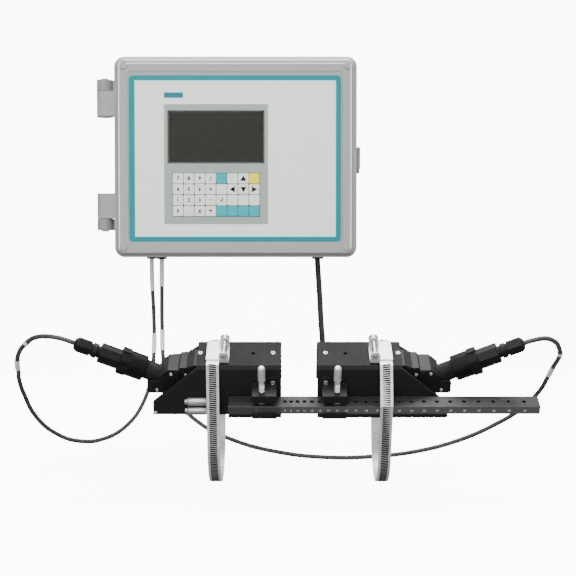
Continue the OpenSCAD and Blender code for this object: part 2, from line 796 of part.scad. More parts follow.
module frame_body(ledge_l) {
    side_boss_z = pipe_r + side_boss_share * frame_h;
    color("#26282a")
    difference() {
        union() {
            frame_shell();
            bar_ledge(ledge_l);
            intersection() {
                block([boss_in, -bar_out, boss_z],
                    [boss_in + boss_l, side_t / 2 - wall_at(boss_z + boss_h), boss_z + boss_h]);
                across(4 * bar_out) translate([boss_in + boss_l / 2, boss_z + boss_h])
                    rounded_rect(boss_l, 2 * boss_h, foot_round);
            }
            translate([plate_hole_shares[0] * plate_l, side_t / 2 - wall_at(side_boss_z), side_boss_z])
                rotate([90, 0, 0]) cylinder(d = side_boss_d, h = side_t / 2 + side_boss_t);
        }
        along(-over, frame_l + 2 * over) circle(pipe_r);
        for (s = plate_hole_shares) translate([s * plate_l, 0, plate_z - plate_t - over])
            cylinder(d = frame_hole_d, h = plate_t + 2 * over);
        translate([plate_hole_shares[0] * plate_l, side_t - wall_at(side_boss_z) + over, side_boss_z])
            rotate([90, 0, 0]) cylinder(d = frame_hole_d, h = 2 * side_t + side_boss_t);
        translate([clamp_in, -bar_mid, boss_z - over])
            cylinder(r = clamp_d / 2 + run_fit, h = boss_h + 2 * over);
    }
}

// The bar lies on both ledges, in front of the frames' walls
module spacer_bar() {
    color("#5a5c5e")
    rig() difference() {
        block([left_x - bar_left, -bar_out, bar_z], [left_x + bar_l, -bar_in, bar_top]);
        for (x = concat([left_x - clamp_in], [for (i = [0:index_count - 1]) index_x(i)]))
            translate([x, -bar_mid, bar_z - over]) cylinder(d = index_d, h = bar_h + 2 * over);
    }
}

// Place of the index hole with number i: the distances grow at a steady rate
function index_x(i) = left_x + index_in + i * index_pitch + index_growth * i * (i - 1) / 2;

module clamp_screw() {
    neck = boss_z + boss_h + clamp_free_l;
    color("silver")
    translate([clamp_in, -bar_mid, 0]) {
        translate([0, 0, shoe_z]) cylinder(d = shoe_d, h = shoe_t);
        translate([0, 0, shoe_z]) cylinder(d = clamp_d, h = neck + over - shoe_z);
        translate([0, 0, neck]) cylinder(d = clamp_head_d, h = clamp_head_h);
    }
}

// Sensors and plugs

// Children are drawn with z along the receptacle's axis, from its foot
module on_axis() translate([frame_l - plug_in, 0, recept_z]) rotate([0, 90 - plug_tilt, 0]) children();

module sensor() {
    low = pipe_r + seat_gap;
    top = plate_z - plate_t - seat_gap;
    nose_x = frame_l - nose_in;
    tread_x = nose_x - housing_l + tread_l;
    tread_z = top - 2 * housing_step;
    nub_l = nose_in + nub_proud;
    color("#2f3133")
    difference() {
        union() {
            across(sensor_w) polygon([[sensor_in, low], [sensor_in, top], [plate_l + sensor_proud, top],
                [nose_x - housing_l, top - housing_step], [tread_x, top - housing_step],
                [tread_x + housing_step / 2, tread_z], [nose_x - bevel_l, tread_z],
                [nose_x, tread_z - bevel_l * bevel_share], [nose_x - nose_cut, low]]);
            across(nub_w) translate([nose_x + (nub_l - bevel_l) / 2, pipe_r + nub_lift + nub_h / 2])
                rounded_rect(bevel_l + nub_l, nub_h, foot_round);
            on_axis() {
                translate([0, 0, -recept_root]) cylinder(d = recept_d, h = recept_root + recept_l);
                translate([0, 0, collar_in]) cylinder(d = collar_d, h = collar_l);
            }
        }
    }
}

module coupling_ring() {
    color("#3a3c3e")
    on_axis() translate([0, 0, ring_s]) difference() {
        cylinder(d = ring_d, h = ring_l);
        translate([0, 0, -over]) cylinder(r = recept_d / 2 + run_fit, h = ring_l + 2 * over);
    }
}

module plug() {
    nose_s = recept_l + seat_gap;
    color("#34363a")
    on_axis() difference() {
        union() {
            translate([0, 0, nose_s]) cylinder(d = recept_d, h = body_s + over - nose_s);
            translate([0, 0, body_s]) rotate(180 / 8) cylinder(d = plug_d / cos(180 / 8), h = plug_l, $fn = 8);
            translate([0, 0, neck_s - over]) cylinder(d = neck_d, h = neck_l + 2 * over);
            translate([0, 0, nut_s]) cylinder(d = nut_d / cos(180 / 6), h = nut_l, $fn = 6);
        }
        translate([0, 0, tip_s - cable_hold - seat_gap])
            cylinder(r = cable_d / 2 + cable_fit, h = cable_hold + seat_gap + over);
    }
}

// Straps

// Tangent point on a circle of radius r round the pipe axis, seen from p
function tangent(p, r, side) =
    let (a = atan2(p[1], p[0]) + side * acos(r / norm(p))) r * [cos(a), sin(a)];

// Area inside a strap: round the pipe and over the plate, and with a front over the spacer bar too.
// The straight runs end a little inside the circle, so that they cross it at a definite angle.
module strap_area(front, grow) {
    r = pipe_r + grow;
    back = [strap_side + grow, strap_z + grow];
    corners = concat([back, [-back[0], back[1]]], [for (p = front) p + [-grow, grow]]);
    circle(r);
    polygon(concat([[0, 0], tangent(back, r - strap_bite, -1)], corners,
        [tangent(corners[len(corners) - 1], r - strap_bite, 1)]));
}

// Plate over the band, with the tray and the ears that carry the strap screw beside it
module worm_housing() {
    cover_z = strap_z + strap_t;
    tray_x = -worm_side - tray_w / 2;
    block([-cover_w / 2, -cover_l / 2, cover_z - strap_t / 2], [cover_w / 2, cover_l / 2, cover_z + cover_t]);
    block([tray_x, worm_ears[0], strap_z], [over - strap_w / 2, worm_y, cover_z]);
    difference() {
        for (y = worm_ears) {
            block([tray_x, y, strap_z], [tray_x + tray_w, y + worm_ear_t, worm_z]);
            translate([-worm_side, y + worm_ear_t, worm_z]) rotate([90, 0, 0])
                cylinder(d = tray_w, h = worm_ear_t);
        }
        translate([-worm_side, worm_l, worm_z]) rotate([90, 0, 0])
            cylinder(r = worm_d / 2 + run_fit, h = 2 * worm_l);
    }
}

// Band round the pipe and the frame, with the screw housing on the top plate
module strap(front) {
    color("#c9ccce") {
        along(strap_x - strap_w / 2, strap_w) difference() {
            strap_area(front, strap_t);
            strap_area(front, 0);
        }
        translate([strap_x, 0, 0]) worm_housing();
    }
}

module strap_screw() {
    color("#d8dadb")
    translate([strap_x - worm_side, worm_y + seat_gap + worm_head_t, worm_z]) rotate([90, 0, 0])
        difference() {
            union() {
                cylinder(d = worm_head_d, h = worm_head_t);
                cylinder(d = worm_d, h = worm_head_t + worm_l);
            }
            translate([0, 0, slot_t / 2 - over]) cube([slot_w, 2 * worm_head_d, slot_t + 2 * over], center = true);
        }
}

// Cables

module sensor_cables() {
    color("#35373a") {
        tube(left_route, cable_d, cable_sides);
        tube(right_route, cable_d, cable_sides);
    }
}

module power_cable() {
    color("#1f2022")
    tube(power_route, power_d, cable_sides);
}

// The coil spirals in and out by one pitch a turn, and climbs a layer where the spiral turns round
function coil_ramp(t) = coil_turns - abs(t % (2 * coil_turns) - coil_turns);
function smooth(u) = let (v = min(1, max(0, u))) v * v * (3 - 2 * v);
function total(list, i = 0) = i == len(list) ? 0 : list[i] + total(list, i + 1);
function coil_layer(t) = total([for (k = [1:coil_layers - 1]) smooth(2 * (t - k * coil_turns) + 1 / 2)]);
function coil_point(t) = let (r = coil_r - coil_pitch * coil_ramp(t))
    [coil_x - r * cos(360 * t), coil_start[1] - coil_pitch * coil_layer(t), coil_z - r * sin(360 * t)];

coil_path = concat([coil_start], [for (i = [0:coil_all * coil_steps]) coil_point(i / coil_steps)],
    [coil_point(coil_all) - [0, 0, power_d]]);

module power_coil() {
    apart = coil_steps / 4;
    last = len(coil_path) - 1;
    gap = min([for (i = [0:last - apart]) for (j = [i + apart:last]) norm(coil_path[i] - coil_path[j])]);
    echo(least_gap_in_coil = gap - power_d);
    echo(coil_length = total([for (i = [1:last]) norm(coil_path[i] - coil_path[i - 1])]));
    color("#1f2022")
    tube(coil_path, power_d, coil_sides);
}

enclosure_box();
enclosure_door();
hinge_pins();
door_gasket();
door_latch();
front_panel();
display_window();
display_board();
main_board();
cable_glands();
left_side() frame_body(bar_left);  // left_frame
right_side() frame_body(frame_l);  // right_frame
left_side() sensor();  // left_sensor
right_side() sensor();  // right_sensor
spacer_bar();
left_side() clamp_screw();  // left_clamp_screw
right_side() clamp_screw();  // right_clamp_screw
left_side() strap([]);  // left_strap
right_side() strap([[-ledge_out - seat_gap, bar_top + seat_gap]]);  // right_strap
left_side() strap_screw();  // left_strap_screw
right_side() strap_screw();  // right_strap_screw
left_side() plug();  // left_plug
right_side() plug();  // right_plug
left_side() coupling_ring();  // left_coupling_ring
right_side() coupling_ring();  // right_coupling_ring
sensor_cables();
power_cable();
power_coil();
for (r = [1:key_rows]) for (c = [1:key_cols])
    key(r, c);
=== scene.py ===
import math

import bmesh
import bpy
from mathutils import Matrix, Vector


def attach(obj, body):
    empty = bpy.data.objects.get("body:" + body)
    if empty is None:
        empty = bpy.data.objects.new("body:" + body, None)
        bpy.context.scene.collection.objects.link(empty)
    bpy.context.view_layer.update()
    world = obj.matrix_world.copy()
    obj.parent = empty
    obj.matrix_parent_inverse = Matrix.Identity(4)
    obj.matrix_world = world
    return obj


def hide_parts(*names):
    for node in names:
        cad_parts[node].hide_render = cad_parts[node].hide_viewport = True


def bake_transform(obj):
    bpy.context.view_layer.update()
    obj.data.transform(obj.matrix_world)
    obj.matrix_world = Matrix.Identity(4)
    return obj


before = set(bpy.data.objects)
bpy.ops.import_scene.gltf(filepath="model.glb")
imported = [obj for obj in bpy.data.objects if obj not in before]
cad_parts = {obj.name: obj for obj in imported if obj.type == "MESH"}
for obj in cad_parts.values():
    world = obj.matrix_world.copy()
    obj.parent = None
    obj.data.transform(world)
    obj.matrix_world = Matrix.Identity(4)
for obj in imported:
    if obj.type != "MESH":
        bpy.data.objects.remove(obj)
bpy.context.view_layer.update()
mm = 0.001

# Camera: just above the height of the enclosure's lower edge, tipped down by two degrees. It sees the
# enclosure from below its middle, and the sensors from above.
camera = bpy.data.objects.new("camera", bpy.data.cameras.new("camera"))
camera.data.lens = 70.08
camera.location = (0.0631, -1.522, -0.1108)
camera.rotation_euler = (math.radians(88.02), 0, 0)
bpy.context.collection.objects.link(camera)
bpy.context.scene.camera = camera


# Node maths for every finish and every tree in this file. Arithmetic on a Wire adds Math nodes, and
# add() makes any other node from its type, its settings and the values or links of its sockets.
class Wire:
    def __init__(self, tree, socket=None):
        self.tree, self.socket = tree, socket

    def add(self, kind, settings=None, inputs=None, out=0):
        node = self.tree.nodes.new(kind)
        for name, value in (settings or {}).items():
            setattr(node, name, value)
        for name, value in (inputs or {}).items():
            socket = node.inputs[name]
            if isinstance(value, Wire):
                self.tree.links.new(value.socket, socket)
            elif socket.type == "RGBA":
                socket.default_value = (*value[:3], 1)
            else:
                socket.default_value = value
        return Wire(self.tree, node.outputs[out])

    def math(self, operation, *values):
        return self.add("ShaderNodeMath", {"operation": operation}, dict(enumerate((self, *values))))

    def flipped(self, operation, value):
        return self.add("ShaderNodeMath", {"operation": operation}, {0: value, 1: self})

    def __add__(self, other):
        return self.math("ADD", other)

    def __radd__(self, other):
        return self.math("ADD", other)

    def __sub__(self, other):
        return self.math("SUBTRACT", other)

    def __rsub__(self, other):
        return self.flipped("SUBTRACT", other)

    def __mul__(self, other):
        return self.math("MULTIPLY", other)

    def __rmul__(self, other):
        return self.math("MULTIPLY", other)

    def __truediv__(self, other):
        return self.math("DIVIDE", other)

    def __pow__(self, other):
        return self.math("POWER", other)

    def __abs__(self):
        return self.math("ABSOLUTE")

    def most(self, other):
        return self.math("MAXIMUM", other)

    def least(self, other):
        return self.math("MINIMUM", other)

    def fade(self, start, end):
        """0 at start and 1 at end, eased between them."""
        settings = {"interpolation_type": "SMOOTHSTEP"}
        return self.add("ShaderNodeMapRange", settings, {"Value": self, "From Min": start, "From Max": end})

    def mix(self, low, high):
        """Colour low where this is 0 and high where it is 1."""
        return self.add("ShaderNodeMix", {"data_type": "RGBA"}, {0: self, 6: low, 7: high}, 2)

    def vector(self, operation, other, out=0):
        return self.add("ShaderNodeVectorMath", {"operation": operation}, {0: self, 1: other}, out)

    def axes(self):
        node = self.add("ShaderNodeSeparateXYZ", None, {0: self}).socket.node
        return [Wire(self.tree, socket) for socket in node.outputs]

    def noise(self, scale, detail=2.0, stretch=None):
        place = self.vector("MULTIPLY", stretch) if stretch else self
        return self.add("ShaderNodeTexNoise", None, {"Vector": place, "Scale": scale, "Detail": detail})

    def soft(self, radius):
        """Surface direction with every edge rounded by a radius in metres."""
        return self.add("ShaderNodeBevel", {"samples": 4}, {"Radius": radius})

    def edge(self, radius):
        """1 on sharp edges and 0 away from them."""
        flat = self.add("ShaderNodeNewGeometry", None, None, "Normal")
        return (1 - self.soft(radius).vector("DOT_PRODUCT", flat, "Value")).fade(0.01, 0.16)

    def bump(self, depth, normal=None):
        """Relief from this height, depth metres high."""
        inputs = {"Height": self, "Distance": depth, "Strength": 1.0}
        if normal:
            inputs["Normal"] = normal
        return self.add("ShaderNodeBump", None, inputs)


def ink(code):
    """Linear colour from a hex code."""
    parts = [int(code[i:i + 2], 16) / 255 for i in (0, 2, 4)]
    return tuple(c / 12.92 if c <= 0.04045 else ((c + 0.055) / 1.055) ** 2.4 for c in parts)


def finish(name, paint):
    """A material whose Principled sockets paint() gives, from the place on the piece."""
    material = bpy.data.materials.new(name)
    material.use_nodes = True
    shader = material.node_tree.nodes["Principled BSDF"]
    place = Wire(material.node_tree).add("ShaderNodeTexCoord", None, None, "Object")
    for socket, value in paint(place).items():
        if isinstance(value, Wire):
            material.node_tree.links.new(value.socket, shader.inputs[socket])
        elif isinstance(value, tuple):
            shader.inputs[socket].default_value = (*value, 1)
        else:
            shader.inputs[socket].default_value = value
    return material


def dress(node, material):
    """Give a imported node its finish."""
    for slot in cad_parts[node].material_slots:
        slot.material = material


# Sensor cables: round screened leads, 5.3 mm thick, with a matt black jacket. Each runs from its gland
# under the transmitter down behind the pipe and round to the plug at the outer end of its sensor.
left_route = [(-115.7, -50, -110), (-115.7, -50, -128), (-115, -50.5, -160), (-113, -53, -195),
              (-112, -58, -235), (-114, -66, -270), (-122, -82, -305), (-140, -100, -333),
              (-168, -118, -349), (-198, -135, -349), (-225, -152, -335), (-243, -170, -312),
              (-251, -190, -285), (-252, -212, -264), (-247, -236, -252), (-243, -258, -240),
              (-235, -282, -225), (-222, -303, -213), (-210, -316, -206), (-195, -324, -204),
              (-182, -327, -205.5), (-171, -326, -208.9), (-161, -323.9, -212.9),
              (-153.7, -322.2, -215.8)]
right_route = [(-98, -90, -110), (-98, -90, -128), (-98, -90.5, -165), (-97.5, -93, -212),
               (-94, -99, -260), (-80, -108, -298), (-50, -118, -328), (-5, -124, -350),
               (50, -128, -364), (110, -132, -370), (170, -137, -368), (225, -143, -360),
               (275, -150, -345), (315, -160, -325), (345, -174, -303), (362, -192, -280),
               (367, -215, -260), (367, -240, -246), (366, -264, -236), (364, -285, -227),
               (358, -303, -217), (350, -318, -210), (338, -327, -206), (325, -327, -208),
               (311.6, -323.9, -212.9), (304.3, -322.2, -215.8)]


def jacket(tint, light):
    def paint(place):
        worn = place.noise(140, 4)
        grain = place.noise(2600, 2)
        return {"Base Color": worn.fade(0.35, 0.7).mix(ink(tint), ink(light)),
                "Roughness": 0.42 + worn * 0.2, "Normal": grain.bump(0.00006)}
    return paint


cable_black = finish("cable_black", jacket("2c2d2f", "3b3d40"))
sleeve_white = finish("sleeve_white", lambda place: {
    "Base Color": place.noise(420, 4, (1, 1, 0.3)).fade(0.45, 0.75).mix(ink("ffffff"), ink("f6f7f6")),
    "Roughness": 0.3, "Specular IOR Level": 0.8, "Normal": place.noise(900, 2).bump(0.00008)})
sleeve_thick = 6.1 * mm


def lead(name, points, diameter, material):
    """Cable along its points, as a curve."""
    line = bpy.data.curves.new(name, "CURVE")
    line.dimensions = "3D"
    line.bevel_depth = diameter / 2
    line.bevel_resolution = 4
    line.resolution_u = 6
    line.use_fill_caps = True
    spline = line.splines.new("BEZIER")
    spline.bezier_points.add(len(points) - 1)
    for knot, point in zip(spline.bezier_points, points):
        knot.co = point
        knot.handle_left_type = knot.handle_right_type = "AUTO"
    line.materials.append(material)
    piece = bpy.data.objects.new(name, line)
    bpy.context.collection.objects.link(piece)
    return piece


def as_mesh(piece):
    """The same piece as a plain mesh under its name, with its modifiers and its place applied."""
    bpy.context.view_layer.update()
    seen = piece.evaluated_get(bpy.context.evaluated_depsgraph_get())
    mesh = bpy.data.meshes.new_from_object(seen)
    mesh.transform(piece.matrix_world)
    name = piece.name
    bpy.data.objects.remove(piece)
    mesh.name = name
    made = bpy.data.objects.new(name, mesh)
    bpy.context.collection.objects.link(made)
    return made


def centre_line(cable):
    """Points along the middle of a cable's curve."""
    line = cable.data.copy()
    line.bevel_depth = 0
    probe = bpy.data.objects.new("probe", line)
    mesh = bpy.data.meshes.new_from_object(probe)
    points = [v.co.copy() for v in mesh.vertices]
    bpy.data.objects.remove(probe)
    bpy.data.meshes.remove(mesh)
    bpy.data.curves.remove(line)
    return points


def stretch(points, start, end):
    """The part of a line between two distances along it."""
    part, gone = [], 0.0
    for a, b in zip(points, points[1:]):
        step = (b - a).length
        for cut in (start, end):
            if gone <= cut < gone + step:
                part.append(a.lerp(b, (cut - gone) / step))
        if start < gone + step < end:
            part.append(b)
        gone += step
    return part


def sleeves(name, points, spans, body):
    """Shrunk sleeves on a cable, each between two distances from its gland."""
    made = []
    for i, (start, end) in enumerate(spans):
        part = stretch(points, start * mm, end * mm)
        if len(part) > 6:
            part = part[::2]
        sleeve = as_mesh(lead(f"{name}_{i + 1}", part, sleeve_thick, sleeve_white))
        sleeve.data.shade_smooth()
        made.append(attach(sleeve, body))
    return made


left_cable = lead("left_sensor_cable", [Vector(p) * mm for p in left_route], 5.3 * mm, cable_black)
left_line = centre_line(left_cable)
left_sleeves = sleeves("left_cable_sleeve", left_line,
                       [(11.5, 55.6), (111.3, 137), (484, 512), (554, 560)], "root")
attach(left_cable, "root")
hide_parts("sensor_cables")

# The sleeves on the right cable's outer loop ride on the right frame, which slides along the spacer bar. The
# cable itself is kept as one plain mesh.
right_cable = lead("right_sensor_cable", [Vector(p) * mm for p in right_route], 5.3 * mm, cable_black)
right_line = centre_line(right_cable)
right_cable = as_mesh(right_cable)
right_cable.data.shade_smooth()
right_sleeves = (sleeves("right_cable_sleeve", right_line, [(11.5, 50.3), (103.5, 129.6)], "root")
                 + sleeves("right_loop_sleeve", right_line, [(729, 757), (801, 808)], "right_frame_unit"))
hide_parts("sensor_cables")
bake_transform(right_cable)

# Power cable: 7.4 mm thick, black. It hangs from its own gland, and its spare length is wound into four
# upright layers of one and a half turns behind the right frame. It ends in three bare-tipped cores for
# the supply.
power_route = [(101.6, -60, -110), (101.6, -60, -128), (103, -61, -150), (104.5, -64, -175),
               (106, -67, -205), (108, -68, -232), (108.5, -68, -255), (108.5, -68, -269)]
coil_x, coil_y, coil_z = 151.8, -68, -276.4
coil_radius, coil_pitch = 43.3, 8.2
turns, layers, steps = 6, 4, 24
layer_turns = turns / layers
tail_drop = 7.4


def coil_point(t):
    """Place in mm after t turns. The coil spirals in and out, and climbs where it changes direction."""
    climb = 0.0
    for k in range(1, layers):
        rise = min(max(2 * (t - layer_turns * k) + 0.5, 0), 1)
        climb += rise * rise * (3 - 2 * rise)
    r = coil_radius - coil_pitch * (layer_turns - abs(t % (2 * layer_turns) - layer_turns))
    angle = 2 * math.pi * t
    return (coil_x - r * math.cos(angle), coil_y - coil_pitch * climb, coil_z - r * math.sin(angle))


wound = [coil_point(i / steps) for i in range(steps * turns + 1)]
tip = Vector(wound[-1]) + Vector((0, 0, -tail_drop))
power_lead = lead("power_lead", [Vector(p) * mm for p in power_route + wound] + [tip * mm], 7.4 * mm,
                  finish("power_black", jacket("131416", "1e2022")))
power_line = centre_line(power_lead)
core_thick, strand_thick = 2.2 * mm, 1.5 * mm
# The cores part towards their tips: how far apart they are, and how far below the cable's end.
parting = ((0.75, -1), (0.9, 5), (1.2, 12), (1.7, 20), (2.2, 27))
for name, shift, colour in (("brown", (-1.5, 0.9), "5b3520"), ("blue", (1.5, 0.9), "2f5a94"),
                            ("green", (0, -1.7), "4f7d3a")):
    points = [(tip + Vector((shift[0] * apart, shift[1] * apart, -down))) * mm for apart, down in parting]
    coat = finish("core_" + name, lambda place: {
        "Base Color": place.noise(700, 2).mix(ink(colour), tuple(c * 1.3 for c in ink(colour))),
        "Roughness": 0.4})
    core = as_mesh(lead("power_core_" + name, points, core_thick, coat))
    bare = finish("copper_" + name, lambda place: {
        "Base Color": ink("b87a52"), "Metallic": 1.0, "Roughness": 0.35,
        "Normal": place.noise(900, 2, (1, 1, 0.2)).bump(0.0002)})
    last, end = points[-2:]
    copper = as_mesh(lead("power_strand_" + name, [last, end, end * 2 - last + Vector((0, 0, mm))],
                          strand_thick, bare))
    for piece in (core, copper):
        piece.data.shade_smooth()
        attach(piece, "root")


# Tie round the coil: a soft black strap, closed on itself. It runs round the bundle of turns at the
# upper right of the coil, and its section is swept along that ring.
def close_ring(sketch, sections):
    """Skin between four-cornered sections, from the last one back to the first."""
    for near, far in zip(sections, sections[1:] + sections[:1]):
        for k in range(4):
            sketch.faces.new((near[k], near[(k + 1) % 4], far[(k + 1) % 4], far[k]))


def piece_from(sketch, name, material, body, smooth=True):
    """Finished object from a bmesh, riding on a body."""
    bmesh.ops.remove_doubles(sketch, verts=sketch.verts, dist=1e-7)
    bmesh.ops.recalc_face_normals(sketch, faces=sketch.faces)
    mesh = bpy.data.meshes.new(name)
    sketch.to_mesh(mesh)
    sketch.free()
    mesh.materials.append(material)
    piece = bpy.data.objects.new(name, mesh)
    bpy.context.collection.objects.link(piece)
    if smooth:
        mesh.shade_smooth()
        mesh.set_sharp_from_angle(angle=math.radians(35))
    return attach(piece, body)


tie_angle = math.radians(140)
tie_out = Vector((-math.cos(tie_angle), 0, math.sin(tie_angle)))
tie_along = tie_out.cross(Vector((0, 1, 0)))
tie_radius, tie_steps = 37.2, 48
tie_centre = Vector((coil_x, coil_y - coil_pitch * (layers - 1) / 2, coil_z)) + tie_out * tie_radius
bundle_out, bundle_deep = 10.4, 16.6
tie_section = ((1, -4), (1, 4), (2, 4), (2, -4))
tie = bmesh.new()
sections = []
for i in range(tie_steps):
    a = 2 * math.pi * i / tie_steps
    squareness = (abs(math.cos(a)) ** 4 + abs(math.sin(a)) ** 4) ** -0.25
    section = []
    for lift, side in tie_section:
        out = (bundle_out + lift) * math.cos(a) * squareness
        deep = (bundle_deep + lift) * math.sin(a) * squareness
        section.append(tie.verts.new((tie_centre + tie_out * out + Vector((0, deep, 0))
                                      + tie_along * side) * mm))
    sections.append(section)
close_ring(tie, sections)
piece_from(tie, "power_coil_tie", finish("tie_black", lambda place: {
    "Base Color": place.noise(1500, 2).mix(ink("1f2022"), ink("35373a")), "Roughness": 0.8,
    "Normal": place.noise(2200, 3).bump(0.0002)}), "root")
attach(power_lead, "root")
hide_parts("power_cable", "power_coil")


# Enclosure: box and door pressed from glass-filled polyester, 4 mm thick, in warm light grey. The skin
# is slightly mottled from the fibres, satin on the flats and paler where hands and tools rub the edges.
def moulded(base, worn, flecks, rough):
    def paint(place):
        cloud = place.noise(28, 5)
        fibre = place.noise(900, 3, (1, 1, 0.35))
        rub = place.edge(0.0012) * place.noise(90, 4).fade(0.3, 0.7)
        tone = fibre.fade(0.35, 0.75).mix(ink(base), ink(flecks))
        return {"Base Color": (rub * 0.6).mix(tone, ink(worn)),
                "Roughness": rough + cloud * 0.12 - rub * 0.1,
                "Normal": (fibre * 0.6 + place.noise(3200, 2) * 0.4).bump(0.00007, place.soft(0.0016))}
    return paint


def in_mm(place):
    """The three axes of a place, in millimetres."""
    return [axis * 1000 for axis in place.axes()]


def slab(x, z, left, right, low, high, radius):
    """Distance in mm outside a rounded rectangle, negative inside it."""
    ax = abs(x - (left + right) / 2) - ((right - left) / 2 - radius)
    az = abs(z - (low + high) / 2) - ((high - low) / 2 - radius)
    return (ax.most(0) ** 2 + az.most(0) ** 2) ** 0.5 + ax.most(az).least(0) - radius


front_left, front_right, front_low, front_high = -139.6, 138.7, -115.1, 111.3
front_round, fall_width, door_front = 3, 3.2, 172.1


def door_skin(place):
    """The same skin, with a front that falls away softly towards its edges."""
    skin = moulded("a19f9e", "c4c2c0", "999796", 0.4)(place)
    x, y, z = in_mm(place)
    beyond = slab(x, z, front_left, front_right, front_low, front_high, front_round)
    fall = beyond.most(0).least(fall_width) * y.fade(-166, -168)
    skin["Normal"] = (1 - fall / fall_width).bump(0.0012, skin["Normal"])
    return skin


dress("enclosure_box", finish("enclosure_grey", moulded("8f8d8c", "b4b2b0", "888685", 0.42)))
dress("enclosure_door", finish("door_grey", door_skin))

# A fine moulded bead runs round the door's front where that falls away. Its section is given as distances
# across it and above the front.
# Its colour is painted light: white along the top and sides as a painted highlight, dark grey along the
# bottom as painted shade.
bead_section = ((-0.75, 0), (-0.4, 0.45), (0.4, 0.45), (0.75, 0))
bead = bmesh.new()
sections = []
for turn, (x, z) in enumerate(((front_right, front_high), (front_left, front_high),
                               (front_left, front_low), (front_right, front_low))):
    pivot = Vector((x - math.copysign(front_round, x), z - math.copysign(front_round, z)))
    for k in range(7):
        a = math.radians(90 * turn + 15 * k)
        away = Vector((math.cos(a), math.sin(a)))
        section = []
        for side, lift in bead_section:
            spot = pivot + away * front_round + away * side
            section.append(bead.verts.new((spot.x * mm, -(door_front + lift) * mm, spot.y * mm)))
        sections.append(section)
close_ring(bead, sections)
# Painted light: white above as a painted highlight, dark grey along the bottom as painted shade.
bead_lit_and_shaded = finish("bead_lit_and_shaded", lambda place: {
    "Base Color": in_mm(place)[2].fade(-108, -113).mix(
        place.noise(900, 3).mix(ink("ffffff"), ink("f4f2f0")), ink("7c7a79")),
    "Roughness": 0.36})
piece_from(bead, "door_bead", bead_lit_and_shaded, "door")


# Hinge pins, latch and gasket: turned stainless pins with heads, a pressed latch plate painted like the
# enclosure with its rolled finger edge, and a poured foam ring in the door's groove.
def brushed(base, dark, rough, along=(1, 1, 0.08), scale=900, metal=1.0):
    def paint(place):
        lines = place.noise(scale, 3, along)
        smear = place.noise(60, 4)
        return {"Base Color": lines.fade(0.3, 0.75).mix(ink(base), ink(dark)), "Metallic": metal,
                "Roughness": rough + smear * 0.15 + lines * 0.1,
                "Normal": lines.bump(0.00003, place.soft(0.0003))}
    return paint


dress("hinge_pins", finish("pin_steel", brushed("c9cacb", "9b9c9d", 0.22)))
dress("door_latch", finish("latch_grey", moulded("9c9a99", "c2c1c0", "979594", 0.36)))
dress("door_gasket", finish("gasket_foam", lambda place: {
    "Base Color": place.noise(1200, 4).mix(ink("26282a"), ink("3d3f41")), "Roughness": 0.85,
    "Normal": place.noise(2500, 3).bump(0.0003)}))


# Front panel: a printed polyester sheet under the keys and the window. A rounded border frames a pale
# field, and a grey bezel surrounds the window and the keypad, with a small coloured bar above it.
def panel_print(place):
    x, y, z = in_mm(place)
    border = slab(x, z, -120.7, 120.6, -95.8, 91.3, 0.8)
    sheet = slab(x, z, -127.7, 126.8, -102, 97.2, 5.0)
    bezel = slab(x, z, -85.6, 39.2, -80.8, 63.0, 1.0)
    small_bar = slab(x, z, -85.6, -62.6, 70.4, 76.9, 0.3)
    paper = place.noise(60, 4).mix(ink("fafdf7"), ink("f1f5ee"))
    tone = bezel.fade(0.12, -0.12).mix(paper, ink("9ca8a4"))
    tone = small_bar.fade(0.1, -0.1).mix(tone, ink("00768c"))
    tone = border.fade(-1.3, -1.0).mix(tone, ink("d2f2f0"))
    tone = border.fade(-0.15, 0.15).mix(tone, place.noise(90, 3).mix(ink("008892"), ink("008089")))
    tone = sheet.fade(-0.15, 0.15).mix(tone, ink("9d9b9a"))
    step = bezel.fade(0.25, -0.25) * 0.6 + border.fade(-0.2, 0.2)
    return {"Base Color": tone, "Roughness": 0.4 + place.noise(40, 3) * 0.1, "Specular IOR Level": 0.15,
            "Normal": (step + place.noise(2600, 2) * 0.25).bump(0.00006, place.soft(0.0006))}


dress("front_panel", finish("panel_print", panel_print))


# Display window: clear hard-coated plastic with a dark tint, flush with the panel. The glass of the
# liquid crystal block stands close behind it, blank and olive grey.
dress("display_window", finish("window_tint", lambda place: {
    "Base Color": ink("2a2c24"), "Alpha": 0.42, "Specular IOR Level": 0.1,
    "Roughness": 0.16 + place.noise(30, 3) * 0.06,
    "Normal": place.noise(1800, 2).bump(0.000004, place.soft(0.0004))}))


# Display board: green laminate with the liquid crystal block in its tin frame at the top and a grid of
# small dome switches behind the keys.
def display_paint(place):
    x, y, z = in_mm(place)
    glass = slab(x, z, -78, 31.6, -4.5, 51.9, 1.0)
    front = y.fade(-166.5, -166.7)
    lcd = front * glass.fade(0.1, -0.1)
    laminate = place.noise(70, 3).fade(0.4, 0.6).mix(ink("13573b"), ink("0d4830"))
    upper = front * z.fade(-14, -13)
    tone = front.mix(laminate, ink("2a2b2d"))
    tone = upper.mix(tone, ink("3b3d38"))
    tone = lcd.mix(tone, place.noise(8, 2).mix(ink("2f3228"), ink("36392e")))
    return {"Base Color": tone, "Metallic": upper * (1 - lcd) * 0.4, "Roughness": 0.45 - lcd * 0.2,
            "Normal": place.noise(900, 3).bump(0.00004, place.soft(0.0003))}


dress("display_board", finish("display_board_finish", display_paint))


